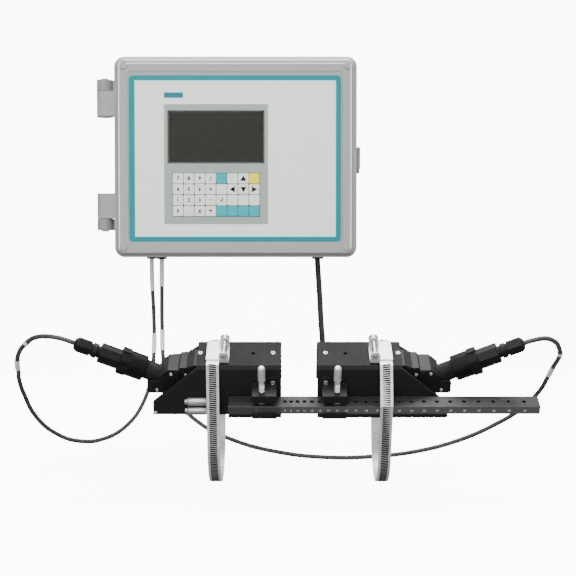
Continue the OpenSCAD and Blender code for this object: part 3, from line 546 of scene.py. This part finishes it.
# Main board: green laminate behind the door, with black and tan parts, capacitor cans in shrink sleeves
# and pale green terminal strips along its lower edge.
def main_board_paint(place):
    y, z = in_mm(place)[1:]
    parts = y.fade(-17.7, -17.9)
    cells = place.vector("MULTIPLY", (26, 0, 26)).add(
        "ShaderNodeTexVoronoi", {"distance": "CHEBYCHEV"}, {"Scale": 1.0}, "Color")
    pick = cells.axes()[0]
    laminate = place.noise(45, 3).fade(0.4, 0.6).mix(ink("15583c"), ink("0f4a33"))
    tone = pick.fade(0.45, 0.5).mix(ink("1c1d1f"), ink("35373a"))
    tone = (pick.fade(0.8, 0.82) * parts).mix(tone, ink("a8916a"))
    tone = (z.fade(-58, -59) * parts).mix(tone, ink("7fa98a"))
    return {"Base Color": parts.mix(laminate, tone), "Roughness": 0.5 - parts * 0.1,
            "Normal": place.noise(1300, 3).bump(0.00008, place.soft(0.0004))}


dress("main_board", finish("main_board_finish", main_board_paint))


# Keys: thirty-two moulded silicone caps with rounded corners, near white, with the function keys in
# teal and one in yellow. Digits, signs and arrows are printed in near black on the white ones.
def key_skin(base, light):
    def paint(place):
        rub = place.edge(0.0007)
        return {"Base Color": (rub * 0.4).mix(place.noise(130, 3).mix(ink(base), ink(light)), ink("ffffff")),
                "Roughness": 0.5 + place.noise(70, 3) * 0.12, "Specular IOR Level": 0.3,
                "Normal": place.noise(2400, 2).bump(0.00004, place.soft(0.0007))}
    return paint


key_white = finish("key_white", key_skin("e8ebe4", "f0f3ec"))
key_teal = finish("key_teal", key_skin("00a3ac", "12acb3"))
key_yellow = finish("key_yellow", key_skin("f2e800", "f6ee08"))
legend_ink = finish("legend_ink", lambda place: {
    "Base Color": place.noise(900, 2).mix(ink("0d100f"), ink("181c1a")), "Roughness": 0.6,
    "Specular IOR Level": 0.1})
legends = {(1, 1): "7", (1, 2): "8", (1, 3): "9", (1, 4): "/", (2, 1): "4", (2, 2): "5", (2, 3): "6",
           (2, 4): "×", (3, 1): "1", (3, 2): "2", (3, 3): "3", (3, 4): "−", (3, 5): "√",
           (4, 1): "0", (4, 2): ".", (4, 3): "±", (4, 4): "+",
           (1, 7): "up", (2, 6): "left", (2, 7): "down", (2, 8): "right"}
arrows = {"up": 0, "left": 90, "down": 180, "right": 270}
arrow_points = ((-3.6, -2.8), (3.6, -2.8), (0, 3.5))
digit_high, sign_high, stroke_gain = 4.5 * mm, 5.0 * mm, 0.22 * mm
pad_x, pad_z, print_y = -23.2, -45.4, -172.93
column_pitch, row_pitch = 13.1, 13
print_half = 0.025
# A font's size is this many times the height of its digits.
size_per_height = 1.38
upright = Matrix.Rotation(math.radians(90), 4, "X")


def printed(name, text, height, material, bold=0.0):
    """Raised print of a text, a twentieth of a millimetre thick, centred at the origin."""
    words = bpy.data.curves.new(name, "FONT")
    words.body, words.size = text, height * size_per_height
    words.align_x, words.align_y = "CENTER", "CENTER"
    words.extrude, words.resolution_u, words.offset = print_half * mm, 2, bold
    words.materials.append(material)
    piece = bpy.data.objects.new(name, words)
    bpy.context.collection.objects.link(piece)
    return as_mesh(piece)


for row in range(1, 5):
    for column in range(1, 9):
        key = f"key_{row}_{column}"
        colour = key_white
        if (row, column) == (1, 8):
            colour = key_yellow
        elif (row, column) == (1, 5) or row == 4 and column > 4:
            colour = key_teal
        dress(key, colour)
        sign = legends.get((row, column))
        if not sign:
            continue
        centre = Matrix.Translation((pad_x * mm + (column - 4.5) * column_pitch * mm, print_y * mm,
                                     pad_z * mm - (row - 2.5) * row_pitch * mm))
        if sign in arrows:
            sketch = bmesh.new()
            turn = Matrix.Rotation(math.radians(arrows[sign]), 3, "Z")
            for level in (-print_half, print_half):
                sketch.faces.new([sketch.verts.new((turn @ Vector((*point, level))) * mm)
                                  for point in arrow_points])
            low, high = sketch.faces
            for k in range(3):
                sketch.faces.new((low.verts[k], low.verts[(k + 1) % 3], high.verts[(k + 1) % 3],
                                  high.verts[k]))
            legend = piece_from(sketch, key + "_legend", legend_ink, key, smooth=False)
        else:
            height = digit_high if sign.isdigit() else sign_high
            legend = printed(key + "_legend", sign, height, legend_ink, stroke_gain)
            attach(legend, key)
        legend.data.transform(centre @ upright)


# Cable glands: black nylon, with a flange outside the bottom wall and a six-sided nut inside it.
def nylon(base, light, rough=0.42, gloss=0.25):
    def paint(place):
        rub = place.edge(0.0008)
        cloud = place.noise(180, 4)
        body = cloud.fade(0.3, 0.7).mix(ink(base), ink(light))
        return {"Base Color": (rub * 0.5).mix(body, ink("3c3f3f")),
                "Roughness": rough + cloud * 0.16 - rub * 0.08, "Specular IOR Level": gloss,
                "Normal": place.noise(2000, 3).bump(0.00006, place.soft(0.0008))}
    return paint


dress("cable_glands", finish("gland_nylon", nylon("131415", "1c1d1f")))


# Frames: folded aluminium channels that stand astride the pipe, hard anodised black, with a matt grey
# top plate screwed on. The rig is turned thirty degrees forward round the pipe's axis.
pipe_y, pipe_z, rig_lean = -266, -313, math.radians(30)
rig = Matrix.Translation((0, pipe_y * mm, pipe_z * mm)) @ Matrix.Rotation(rig_lean, 4, "X")


def rig_axes(place):
    """Distances in mm in front of the pipe's axis and out from it, in the rig's own directions."""
    y, z = in_mm(place)[1:]
    y, z = y - pipe_y, z - pipe_z
    lean_sin, lean_cos = math.sin(rig_lean), math.cos(rig_lean)
    return y * -lean_cos - z * lean_sin, z * lean_cos - y * lean_sin


def along(side, out):
    """Place in mm along the bar of what lies a distance out from its frame's inner end."""
    return 56 - out if side == "left" else 94.4 + out


def anodised(place):
    front, out = rig_axes(place)
    plate = out.fade(98.95, 99.25)
    rub = place.edge(0.0007) * place.noise(240, 4).fade(0.35, 0.7)
    grain = place.noise(1500, 3)
    tone = grain.fade(0.3, 0.7).mix(ink("131414"), ink("1b1c1c"))
    tone = plate.mix(tone, place.noise(90, 4).mix(ink("080909"), ink("0e0f0f")))
    tone = (plate * front.fade(21.7, 21.95)).mix(tone, ink("2c2d2d"))
    return {"Base Color": (rub * 0.35).mix(tone, ink("5a5b5b")), "Specular IOR Level": 0.16,
            "Roughness": 0.4 + plate * 0.15 + place.noise(50, 3) * 0.1,
            "Normal": grain.bump(0.00005, place.soft(0.0006))}


frame_black = finish("frame_black", anodised)
carriers = {"left": "root", "right": "right_frame_unit"}
for side in carriers:
    dress(side + "_frame", frame_black)


# Screws of the frames: stainless button heads with a hex socket, on the plates, in the side bosses and
# along the slanted toes. One tree shapes a head with its socket cut out and sets it on every point.
def tree(name, **inputs):
    group = bpy.data.node_groups.new(name, "GeometryNodeTree")
    group.interface.new_socket("Geometry", in_out="INPUT", socket_type="NodeSocketGeometry")
    for label, kind in inputs.items():
        group.interface.new_socket(label, in_out="INPUT", socket_type="NodeSocket" + kind)
    group.interface.new_socket("Geometry", in_out="OUTPUT", socket_type="NodeSocketGeometry")
    entry = group.nodes.new("NodeGroupInput")
    return group, {socket.name: Wire(group, socket) for socket in entry.outputs}


def close(group, wire, finish_wire):
    """End a tree in real geometry with its material."""
    real = wire.add("GeometryNodeRealizeInstances", None, {0: wire})
    real = real.add("GeometryNodeSetMaterial", None, {"Geometry": real, "Material": finish_wire})
    group.links.new(real.socket, group.nodes.new("NodeGroupOutput").inputs[0])


def grown(name, group, points, place, body, slot, edges=(), **values):
    """Run a tree on points and keep the result as a plain mesh on its body."""
    seed = bpy.data.meshes.new(name)
    seed.from_pydata([Vector(p) * mm for p in points], edges, [])
    piece = bpy.data.objects.new(name, seed)
    piece.matrix_world = place
    bpy.context.collection.objects.link(piece)
    modifier = piece.modifiers.new("grow", "NODES")
    modifier.node_group = group
    for item in group.interface.items_tree:
        if item.in_out == "INPUT" and item.name in values:
            modifier[item.identifier] = values[item.name]
    made = as_mesh(piece)
    made.data.shade_smooth()
    made.data.set_sharp_from_angle(angle=math.radians(35))
    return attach(made, body)


screw_tree, given = tree("socket_screws", Head="Float", Height="Float", Socket="Float", Turn="Vector",
                         Steel="Material")
start = given["Geometry"]
waist, crown = given["Head"] * 0.94, given["Head"] * 0.7
skirt = start.add("GeometryNodeMeshCone", None, {
    "Vertices": 28, "Radius Bottom": given["Head"], "Radius Top": waist, "Depth": given["Height"] * 0.55})
dome = start.add("GeometryNodeMeshCone", None, {
    "Vertices": 28, "Radius Bottom": waist, "Radius Top": crown, "Depth": given["Height"] * 0.45})
lift = start.add("ShaderNodeCombineXYZ", None, {"Z": given["Height"] * 0.549})
dome = start.add("GeometryNodeTransform", None, {"Geometry": dome, "Translation": lift})
hollow = start.add("GeometryNodeMeshCylinder", None, {
    "Vertices": 6, "Radius": given["Socket"], "Depth": given["Height"] * 1.2})
hollow = start.add("GeometryNodeTransform", None, {
    "Geometry": hollow, "Translation": start.add("ShaderNodeCombineXYZ", None, {"Z": given["Height"]})})
head = start.add("GeometryNodeMeshBoolean", {"operation": "UNION", "solver": "EXACT"}, {"Mesh 2": skirt})
screw_tree.links.new(dome.socket, head.socket.node.inputs["Mesh 2"])
head = start.add("GeometryNodeMeshBoolean", {"operation": "DIFFERENCE", "solver": "EXACT"},
                 {"Mesh 1": head, "Mesh 2": hollow})
turn = start.add("FunctionNodeEulerToRotation", None, {0: given["Turn"]})
heads = start.add("GeometryNodeInstanceOnPoints", None, {"Points": start, "Instance": head, "Rotation": turn})
close(screw_tree, heads, given["Steel"])
screw_steel = finish("screw_steel", brushed("d5d6d6", "8f9091", 0.2, (1, 1, 1), 500))
forward = (math.radians(90), 0, 0)
plate_top, boss_front, boss_out = 104.1, -28.0, 85.35
first_screw, last_screw = 9, 87.1
toe_spots = {
    "left": [(-46.8, -15, 86.2), (-62.4, -15, 87.4), (-79.0, -12, 64.4), (-79.4, -32.6, 49.6)],
    "right": [(200.7, -15, 86.8), (216.3, -15, 87.8), (229.4, -12, 64.4), (229.8, -32.6, 49.6)]}
for side, body in carriers.items():
    plate_spots = [(along(side, out), 0, plate_top) for out in (first_screw, last_screw)]
    grown(side + "_plate_screws", screw_tree, plate_spots, rig, body, "frame",
          Head=3.1 * mm, Height=1.5 * mm, Socket=1.45 * mm, Turn=(0, 0, 0.4), Steel=screw_steel)
    boss_spot = (along(side, first_screw), boss_front, boss_out)
    grown(side + "_boss_screw", screw_tree, [boss_spot], rig, body, "frame",
          Head=3.0 * mm, Height=0.9 * mm, Socket=1.4 * mm, Turn=forward, Steel=screw_steel)
    grown(side + "_toe_screws", screw_tree, toe_spots[side], rig, body, "frame",
          Head=2.1 * mm, Height=1.4 * mm, Socket=0.95 * mm, Turn=forward, Steel=screw_steel)


# Two spare index pins, parked on the left frame's front wall: turned steel, knurled in the middle,
# with thinner ends. The wall leans, so the lower pin lies further forward.
def turned(name, profile, place, material, body, sides=40, ribs=None):
    """Turned part from (radius, height) pairs in mm. Ribs are (from height, to height, depth)."""
    sketch = bmesh.new()
    rings = []
    for radius, height in profile:
        if radius <= 0:
            rings.append([sketch.verts.new((0, 0, height * mm))])
            continue
        ring = []
        for k in range(sides):
            reach = radius
            if ribs and ribs[0] <= height <= ribs[1] and k % 4 in (0, 1):
                reach -= ribs[2]
            a = 2 * math.pi * k / sides
            ring.append(sketch.verts.new((reach * math.cos(a) * mm, reach * math.sin(a) * mm, height * mm)))
        rings.append(ring)
    for low, high in zip(rings, rings[1:]):
        for k in range(sides):
            corners = [low[k % len(low)], low[(k + 1) % len(low)], high[(k + 1) % len(high)],
                       high[k % len(high)]]
            sketch.faces.new(list(dict.fromkeys(corners)))
    sketch.transform(place)
    return piece_from(sketch, name, material, body)


index_pin_steel = finish("index_pin_steel", brushed("c2c2bf", "8a8a86", 0.3, (0.1, 1, 1), 700))
wall_front, wall_top, wall_slope = 22, 104.15, 0.18806
pin_start, pin_radius = -47.4, 4.6
pin_profile = [(0, 0), (2.6, 0), (3.1, 0.5), (3.1, 2.6), (4.1, 3.2), (pin_radius, 3.8), (pin_radius, 22.6),
               (4.1, 23.2), (3.1, 23.8), (3.1, 26.2), (2.6, 26.7), (0, 26.7)]
for k, out in enumerate((65.0, 54.6)):
    front = wall_front + (wall_top - out) * wall_slope + pin_radius
    place = rig @ Matrix.Translation((pin_start * mm, -front * mm, out * mm)) @ Matrix.Rotation(
        math.radians(90), 4, "Y")
    turned(f"index_pin_{k + 1}", pin_profile, place, index_pin_steel, "root",
           sides=64, ribs=(3.7, 22.7, 0.25))

# Sensors: a glass-filled plastic block in each frame, with a stepped housing at the outer end that
# carries the threaded receptacle. Clamping ribs stand on the housing's sides, and its foot is screwed on.
# A rib is given from near to far along the bar, from low to high, and by how far it stands out.
sensor_black = finish("sensor_black", nylon("0e0f0f", "171818", 0.42))
rib_black = finish("sensor_rib_black", nylon("121110", "1b1a19", 0.38, 0.18))
thread_black = finish("thread_black", nylon("080909", "101111", 0.5))
housing_ribs = [(95.6, 99.4, 84, 96.2, 0.5), (103.9, 105.1, 79.6, 95.2, 1.0),
                (110.6, 117.4, 77.5, 92.2, 1.0), (118.4, 121.2, 75.5, 92.0, 0.5),
                (122.2, 128.2, 76, 87.4, 0.8)]
housing_half, rib_root = 15, 0.4
socket_out, socket_lift = 128, 74.5
socket_lean = {"left": -65.2, "right": 65.2}
thread_root, thread_core, thread_crest, thread_pitch = 9.6, 10.1, 10.65, 1.5
thread = [(thread_root, 5.9), (thread_core, 6.0)]
for k in range(11):
    low = 6.2 + k * thread_pitch
    thread += [(thread_core, low), (thread_crest, low + 0.45), (thread_crest, low + 0.8),
               (thread_core, low + 1.25)]
thread += [(thread_core, 22.9), (thread_root, 22.9), (thread_root, 5.9)]
socket_axes = {}
for side, body in carriers.items():
    socket_axes[side] = rig @ Matrix.Translation(
        (along(side, socket_out) * mm, 0, socket_lift * mm)) @ Matrix.Rotation(
        math.radians(socket_lean[side]), 4, "Y")
    dress(side + "_sensor", sensor_black)
    turned(side + "_receptacle_thread", thread, socket_axes[side], thread_black, body, sides=48)
    ribs = bmesh.new()
    for near, far, low, high, proud in housing_ribs:
        for front in (-1, 1):
            box = bmesh.ops.create_cube(ribs, size=1)["verts"]
            for v in box:
                reach = proud if v.co.y * front > 0 else -rib_root
                v.co = Vector((along(side, near if v.co.x < 0 else far), front * (housing_half + reach),
                               low if v.co.z < 0 else high)) * mm
            bmesh.ops.bevel(ribs, geom=list({e for v in box for e in v.link_edges}), offset=0.3 * mm,
                            segments=2, affect="EDGES", profile=0.6)
    ribs.transform(rig)
    piece_from(ribs, side + "_sensor_ribs", rib_black, body)

# Plugs: moulded connector bodies with eight flats, a neck and a six-sided gland nut round the cable.
# The coupling ring turns on each plug and screws onto the receptacle; its rear rim has grip lugs.
lug_tree, given = tree("grip_lugs", Ring="Float", Reach="Float", Wide="Float", Long="Float", Count="Int",
                       Finish="Material")
start = given["Geometry"]
circle = start.add("GeometryNodeCurvePrimitiveCircle", None, {
    "Resolution": given["Count"], "Radius": given["Ring"]})
spots = start.add("GeometryNodeCurveToPoints", {"mode": "EVALUATED"}, {"Curve": circle})
turn = spots.socket.node.outputs["Tangent"]
face = start.add("FunctionNodeAxesToRotation", {"primary_axis": "Z", "secondary_axis": "Y"}, {
    "Primary Axis": (0, 0, 1), "Secondary Axis": Wire(lug_tree, turn)})
size = start.add("ShaderNodeCombineXYZ", None, {
    "X": given["Reach"], "Y": given["Wide"], "Z": given["Long"]})
block = start.add("GeometryNodeMeshCube", None, {"Size": size})
lugs = start.add("GeometryNodeInstanceOnPoints", None, {"Points": spots, "Instance": block, "Rotation": face})
close(lug_tree, lugs, given["Finish"])
ring_black = finish("ring_black", nylon("070908", "0e100f", 0.38, 0.12))
plug_black = finish("plug_black", nylon("101211", "171a18", 0.36, 0.15))
lug_black = finish("lug_black", nylon("0d0f0e", "151716", 0.4, 0.15))
lug_place = Matrix.Translation((0, 0, 46.6 * mm))
collar = [(6.3, 77.4), (7.7, 77.4), (8.1, 77.9), (8.1, 82.1), (7.7, 82.7), (6.3, 82.7), (6.3, 77.4)]
boot = [(2.75, 98.9), (7.0, 98.9), (7.4, 99.6), (7.1, 100.8), (5.6, 102.2), (4.0, 103.0), (2.75, 103.0),
        (2.75, 98.9)]
for side, body in carriers.items():
    dress(side + "_plug", plug_black)
    dress(side + "_coupling_ring", ring_black)
    grown(side + "_ring_lugs", lug_tree, [(0, 0, 0)], socket_axes[side] @ lug_place,
          side + "_ring_unit", "coupling_ring",
          Ring=14.0 * mm, Reach=1.8 * mm, Wide=5.4 * mm, Long=9.2 * mm, Count=8, Finish=lug_black)
    turned(side + "_plug_collar", collar, socket_axes[side], plug_black, body)
    turned(side + "_plug_boot", boot, socket_axes[side], lug_black, body)


# Spacer bar: extruded aluminium, anodised dark. Its front face is painted paler as painted light, for the
# front light that falls on it.
# White numbers are printed on that face under the index holes, and two grey plates lie at its left end.
def bar_paint(place):
    drawn = place.noise(700, 3, (0.15, 1, 1)).mix(ink("1c1d1d"), ink("262727"))
    # Painted light: the front face is painted paler for the light that falls on it from the front.
    tone = rig_axes(place)[0].fade(48.2, 48.5).mix(drawn, ink("4c4d4d"))
    return {"Base Color": (place.edge(0.0006) * 0.5).mix(tone, ink("6c6d6d")),
            "Specular IOR Level": 0.3, "Roughness": 0.42 + place.noise(60, 3) * 0.1,
            "Normal": place.noise(1400, 2, (0.15, 1, 1)).bump(0.00004, place.soft(0.0005))}


dress("spacer_bar", finish("bar_black", bar_paint))
mark_white = finish("mark_white", lambda place: {
    "Base Color": place.noise(900, 2).mix(ink("f2f3f2"), ink("d9dbda")), "Roughness": 0.5})
plate_grey = finish("mark_plate", lambda place: {
    "Base Color": place.noise(400, 3, (0.2, 1, 1)).mix(ink("3e3f3f"), ink("4a4b4b")), "Metallic": 0.5,
    "Roughness": 0.4, "Normal": place.noise(900, 2, (0.15, 1, 1)).bump(0.00003)})
index_count, index_start, index_pitch, index_growth, lowest_number = 23, 60, 6.4, 0.49, 8
number_high, number_front, number_out = 2.3 * mm, 48.63, 64.2
numbers = bmesh.new()
for k in range(index_count):
    x = index_start + index_pitch * k + index_growth / 2 * k * (k - 1)
    figure = printed("figure", str(k + lowest_number), number_high, mark_white)
    figure.data.transform(rig @ Matrix.Translation((x * mm, -number_front * mm, number_out * mm)) @ upright)
    numbers.from_mesh(figure.data)
    bpy.data.objects.remove(figure)
piece_from(numbers, "spacer_bar_numbers", mark_white, "root", smooth=False)
plate_spans, plate_faces, plate_edges = ((0.9, 28.4), (30.4, 55.4)), (48.55, 48.75), (60.9, 68.7)
box_quads = ((0, 1, 3, 2), (4, 6, 7, 5), (0, 4, 5, 1), (2, 3, 7, 6), (0, 2, 6, 4), (1, 5, 7, 3))
plates = bmesh.new()
for span in plate_spans:
    corners = [plates.verts.new((x * mm, -front * mm, out * mm))
               for x in span for front in plate_faces for out in plate_edges]
    for quad in box_quads:
        plates.faces.new([corners[n] for n in quad])
plates.transform(rig)
piece_from(plates, "spacer_bar_plates", plate_grey, "root", smooth=False)

# Clamp screws: turned steel, with a domed knurled head, a threaded shank and a wide shoe that bears on
# the bar. One stands in the boss of each frame.
clamp_steel = finish("clamp_steel", brushed("f0f0ee", "c6c6c3", 0.3, (1, 1, 0.2), 600, 0.85))
clamp_out, clamp_front = 20.7, 39.59
shank_root, shank_crest, shank_pitch = 2.65, 3.0, 0.75
shoe = [(0, 69.85), (5.1, 69.85), (5.5, 70.25), (5.5, 72.0), (5.1, 72.45), (shank_crest, 72.45)]
shank = []
for k in range(28):
    low = 72.7 + k * shank_pitch
    shank += [(shank_root, low), (shank_crest, low + 0.3)]
knob = [(2.8, 94.2), (2.8, 96.4), (3.6, 96.8), (3.95, 97.2), (3.95, 109.6), (3.95, 111.2),
        (3.7, 113.2), (3.1, 114.4), (2.0, 115.05), (0, 115.25)]
for side in carriers:
    place = rig @ Matrix.Translation((along(side, clamp_out) * mm, -clamp_front * mm, 0))
    screw = turned(side + "_clamp_screw_turned", shoe + shank + knob, place, clamp_steel,
                   side + "_clamp_screw_unit", sides=64, ribs=(97.3, 109.5, 0.14))
    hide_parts(side + "_clamp_screw")

# Straps: stainless worm-drive bands round the pipe and the frames, with slanted slots along them and a smooth
# housing on top. One tree lays thin dark blocks along each band's outer face for the slots: painted shade,
# standing in for the shade inside the slot holes.
slot_tree, given = tree("strap_slots", Pitch="Float", Long="Float", Wide="Float", Deep="Float",
                        Slant="Float", Finish="Material")
start = given["Geometry"]
band = start.add("GeometryNodeMeshToCurve", None, {"Mesh": start})
spots = start.add("GeometryNodeCurveToPoints", {"mode": "LENGTH"}, {"Curve": band, "Length": given["Pitch"]})
run = Wire(slot_tree, spots.socket.node.outputs["Tangent"])
outward = run.vector("CROSS_PRODUCT", (1, 0, 0))
lie = start.add("FunctionNodeAxesToRotation", {"primary_axis": "Z", "secondary_axis": "X"}, {
    "Primary Axis": outward, "Secondary Axis": (1, 0, 0)})
slant = start.add("FunctionNodeEulerToRotation", None, {
    0: start.add("ShaderNodeCombineXYZ", None, {"Z": given["Slant"]})})
lie = start.add("FunctionNodeRotateRotation", {"rotation_space": "LOCAL"}, {
    "Rotation": lie, "Rotate By": slant})
size = start.add("ShaderNodeCombineXYZ", None, {
    "X": given["Long"], "Y": given["Wide"], "Z": given["Deep"]})
notch = start.add("GeometryNodeMeshCube", None, {"Size": size})
notches = start.add("GeometryNodeInstanceOnPoints", None, {
    "Points": spots, "Instance": notch, "Rotation": lie})
close(slot_tree, notches, given["Finish"])
strap_steel = finish("strap_steel", brushed("ebecec", "cfd0d0", 0.34, (0.15, 1, 1), 800, 0.72))
# Painted shade: the slots are dark blocks on the band, not holes. Their colour stands in for the shade inside
# them.
slot_painted_shade = finish("strap_slot_painted_shade", lambda place: {
    "Base Color": place.noise(800, 2).mix(ink("070707"), ink("151515")), "Specular IOR Level": 0.1,
    "Roughness": 0.6})
strap_out, strap_radius, arc_steps = 73, 58.17, 60
rear_corner = (-23.2, 105.45)
front_corners = {"left": [(23.2, 105.45)], "right": [(23.2, 105.45), (50.2, 70.85)]}
slant_of = {"left": -0.12, "right": 0.12}


def tangent(corner):
    """Angle of a corner seen from the pipe's axis, and the angle from there to where a band touches."""
    front, out = corner
    return math.atan2(out, -front), math.acos(strap_radius / math.hypot(front, out))


for side, body in carriers.items():
    dress(side + "_strap", strap_steel)
    touch = sum(tangent(front_corners[side][-1]))
    seen, turn = tangent(rear_corner)
    sweep = (seen - turn - touch) % (2 * math.pi)
    arc = [touch + sweep * k / arc_steps for k in range(arc_steps + 1)]
    line = [*front_corners[side], *((-strap_radius * math.cos(a), strap_radius * math.sin(a)) for a in arc),
            rear_corner]
    points = [(along(side, strap_out), -front, out) for front, out in line]
    grown(side + "_strap_slots", slot_tree, points, rig, body, "strap",
          edges=[(k, k + 1) for k in range(len(points) - 1)], Pitch=2.35 * mm, Long=8.0 * mm,
          Wide=1.65 * mm, Deep=0.14 * mm, Slant=slant_of[side], Finish=slot_painted_shade)

# Strap screws: slotted worm screws in the housings' ears, bright turned steel.
worm_steel = finish("worm_steel", brushed("d6d6d5", "8d8d8c", 0.2, (1, 0.15, 1), 700))
for side in carriers:
    dress(side + "_strap_screw", worm_steel)

# Stage: a plain pale floor that curves up behind the part.
floor_z, floor_front, floor_back, floor_half, floor_top = -0.378, -2.6, 1.2, 4, 3.2
curve = 0.9
profile = [(floor_front, floor_z), (floor_back, floor_z)]
for degrees in range(10, 91, 10):
    a = math.radians(degrees)
    profile.append((floor_back + curve * math.sin(a), floor_z + curve - curve * math.cos(a)))
profile.append((floor_back + curve, floor_top))
sheet = bmesh.new()
rows = [[sheet.verts.new((x, y, z)) for y, z in profile] for x in (-floor_half, floor_half)]
for k in range(len(profile) - 1):
    sheet.faces.new((rows[0][k], rows[1][k], rows[1][k + 1], rows[0][k + 1]))
stage_mesh = bpy.data.meshes.new("floor")
sheet.to_mesh(stage_mesh)
sheet.free()
stage_mesh.shade_smooth()
floor = bpy.data.objects.new("floor", stage_mesh)
bpy.context.collection.objects.link(floor)
stage_mesh.materials.append(finish("floor_white", lambda place: {
    "Base Color": place.noise(3, 2).mix(ink("f4f4f3"), ink("f7f7f6")), "Roughness": 0.9,
    "Emission Color": ink("fdfdfd"), "Emission Strength": 9.5}))
floor.visible_diffuse = floor.visible_glossy = False

# Light: the strongest broad light is straight above, a second one above and in front, and weaker ones
# in front, at the right and behind. The sky is grey below and paler above.
for name, place, aim, size, power in (
        ("key_light", (-0.4, -1.8, 1.4), (0.05, -0.2, -0.1), 1.6, 40),
        ("front_light", (-0.5, -2.4, 0.0), (0.0, -0.15, -0.2), 1.6, 20),
        ("right_light", (1.7, -1.1, 0.5), (0.1, -0.2, -0.15), 1.2, 12),
        ("top_light", (0.1, 0.15, 1.9), (0.1, -0.25, -0.2), 1.4, 72),
        ("back_light", (0.0, 1.3, 1.4), (0.0, 0.0, -0.1), 1.6, 10)):
    lamp = bpy.data.lights.new(name, "AREA")
    lamp.shape, lamp.size, lamp.energy = "DISK", size, power
    light = bpy.data.objects.new(name, lamp)
    light.location = place
    light.visible_camera = False
    light.rotation_euler = (Vector(aim) - Vector(place)).to_track_quat("-Z", "Y").to_euler()
    bpy.context.collection.objects.link(light)
world = bpy.data.worlds.new("sky")
world.use_nodes = True
sky = Wire(world.node_tree).add("ShaderNodeTexCoord", None, None, "Generated").axes()[2].fade(-0.5, 0.4)
world.node_tree.links.new(sky.mix((0.4, 0.4, 0.4), (0.8, 0.8, 0.8)).socket,
                          world.node_tree.nodes["Background"].inputs["Color"])
bpy.context.scene.world = world
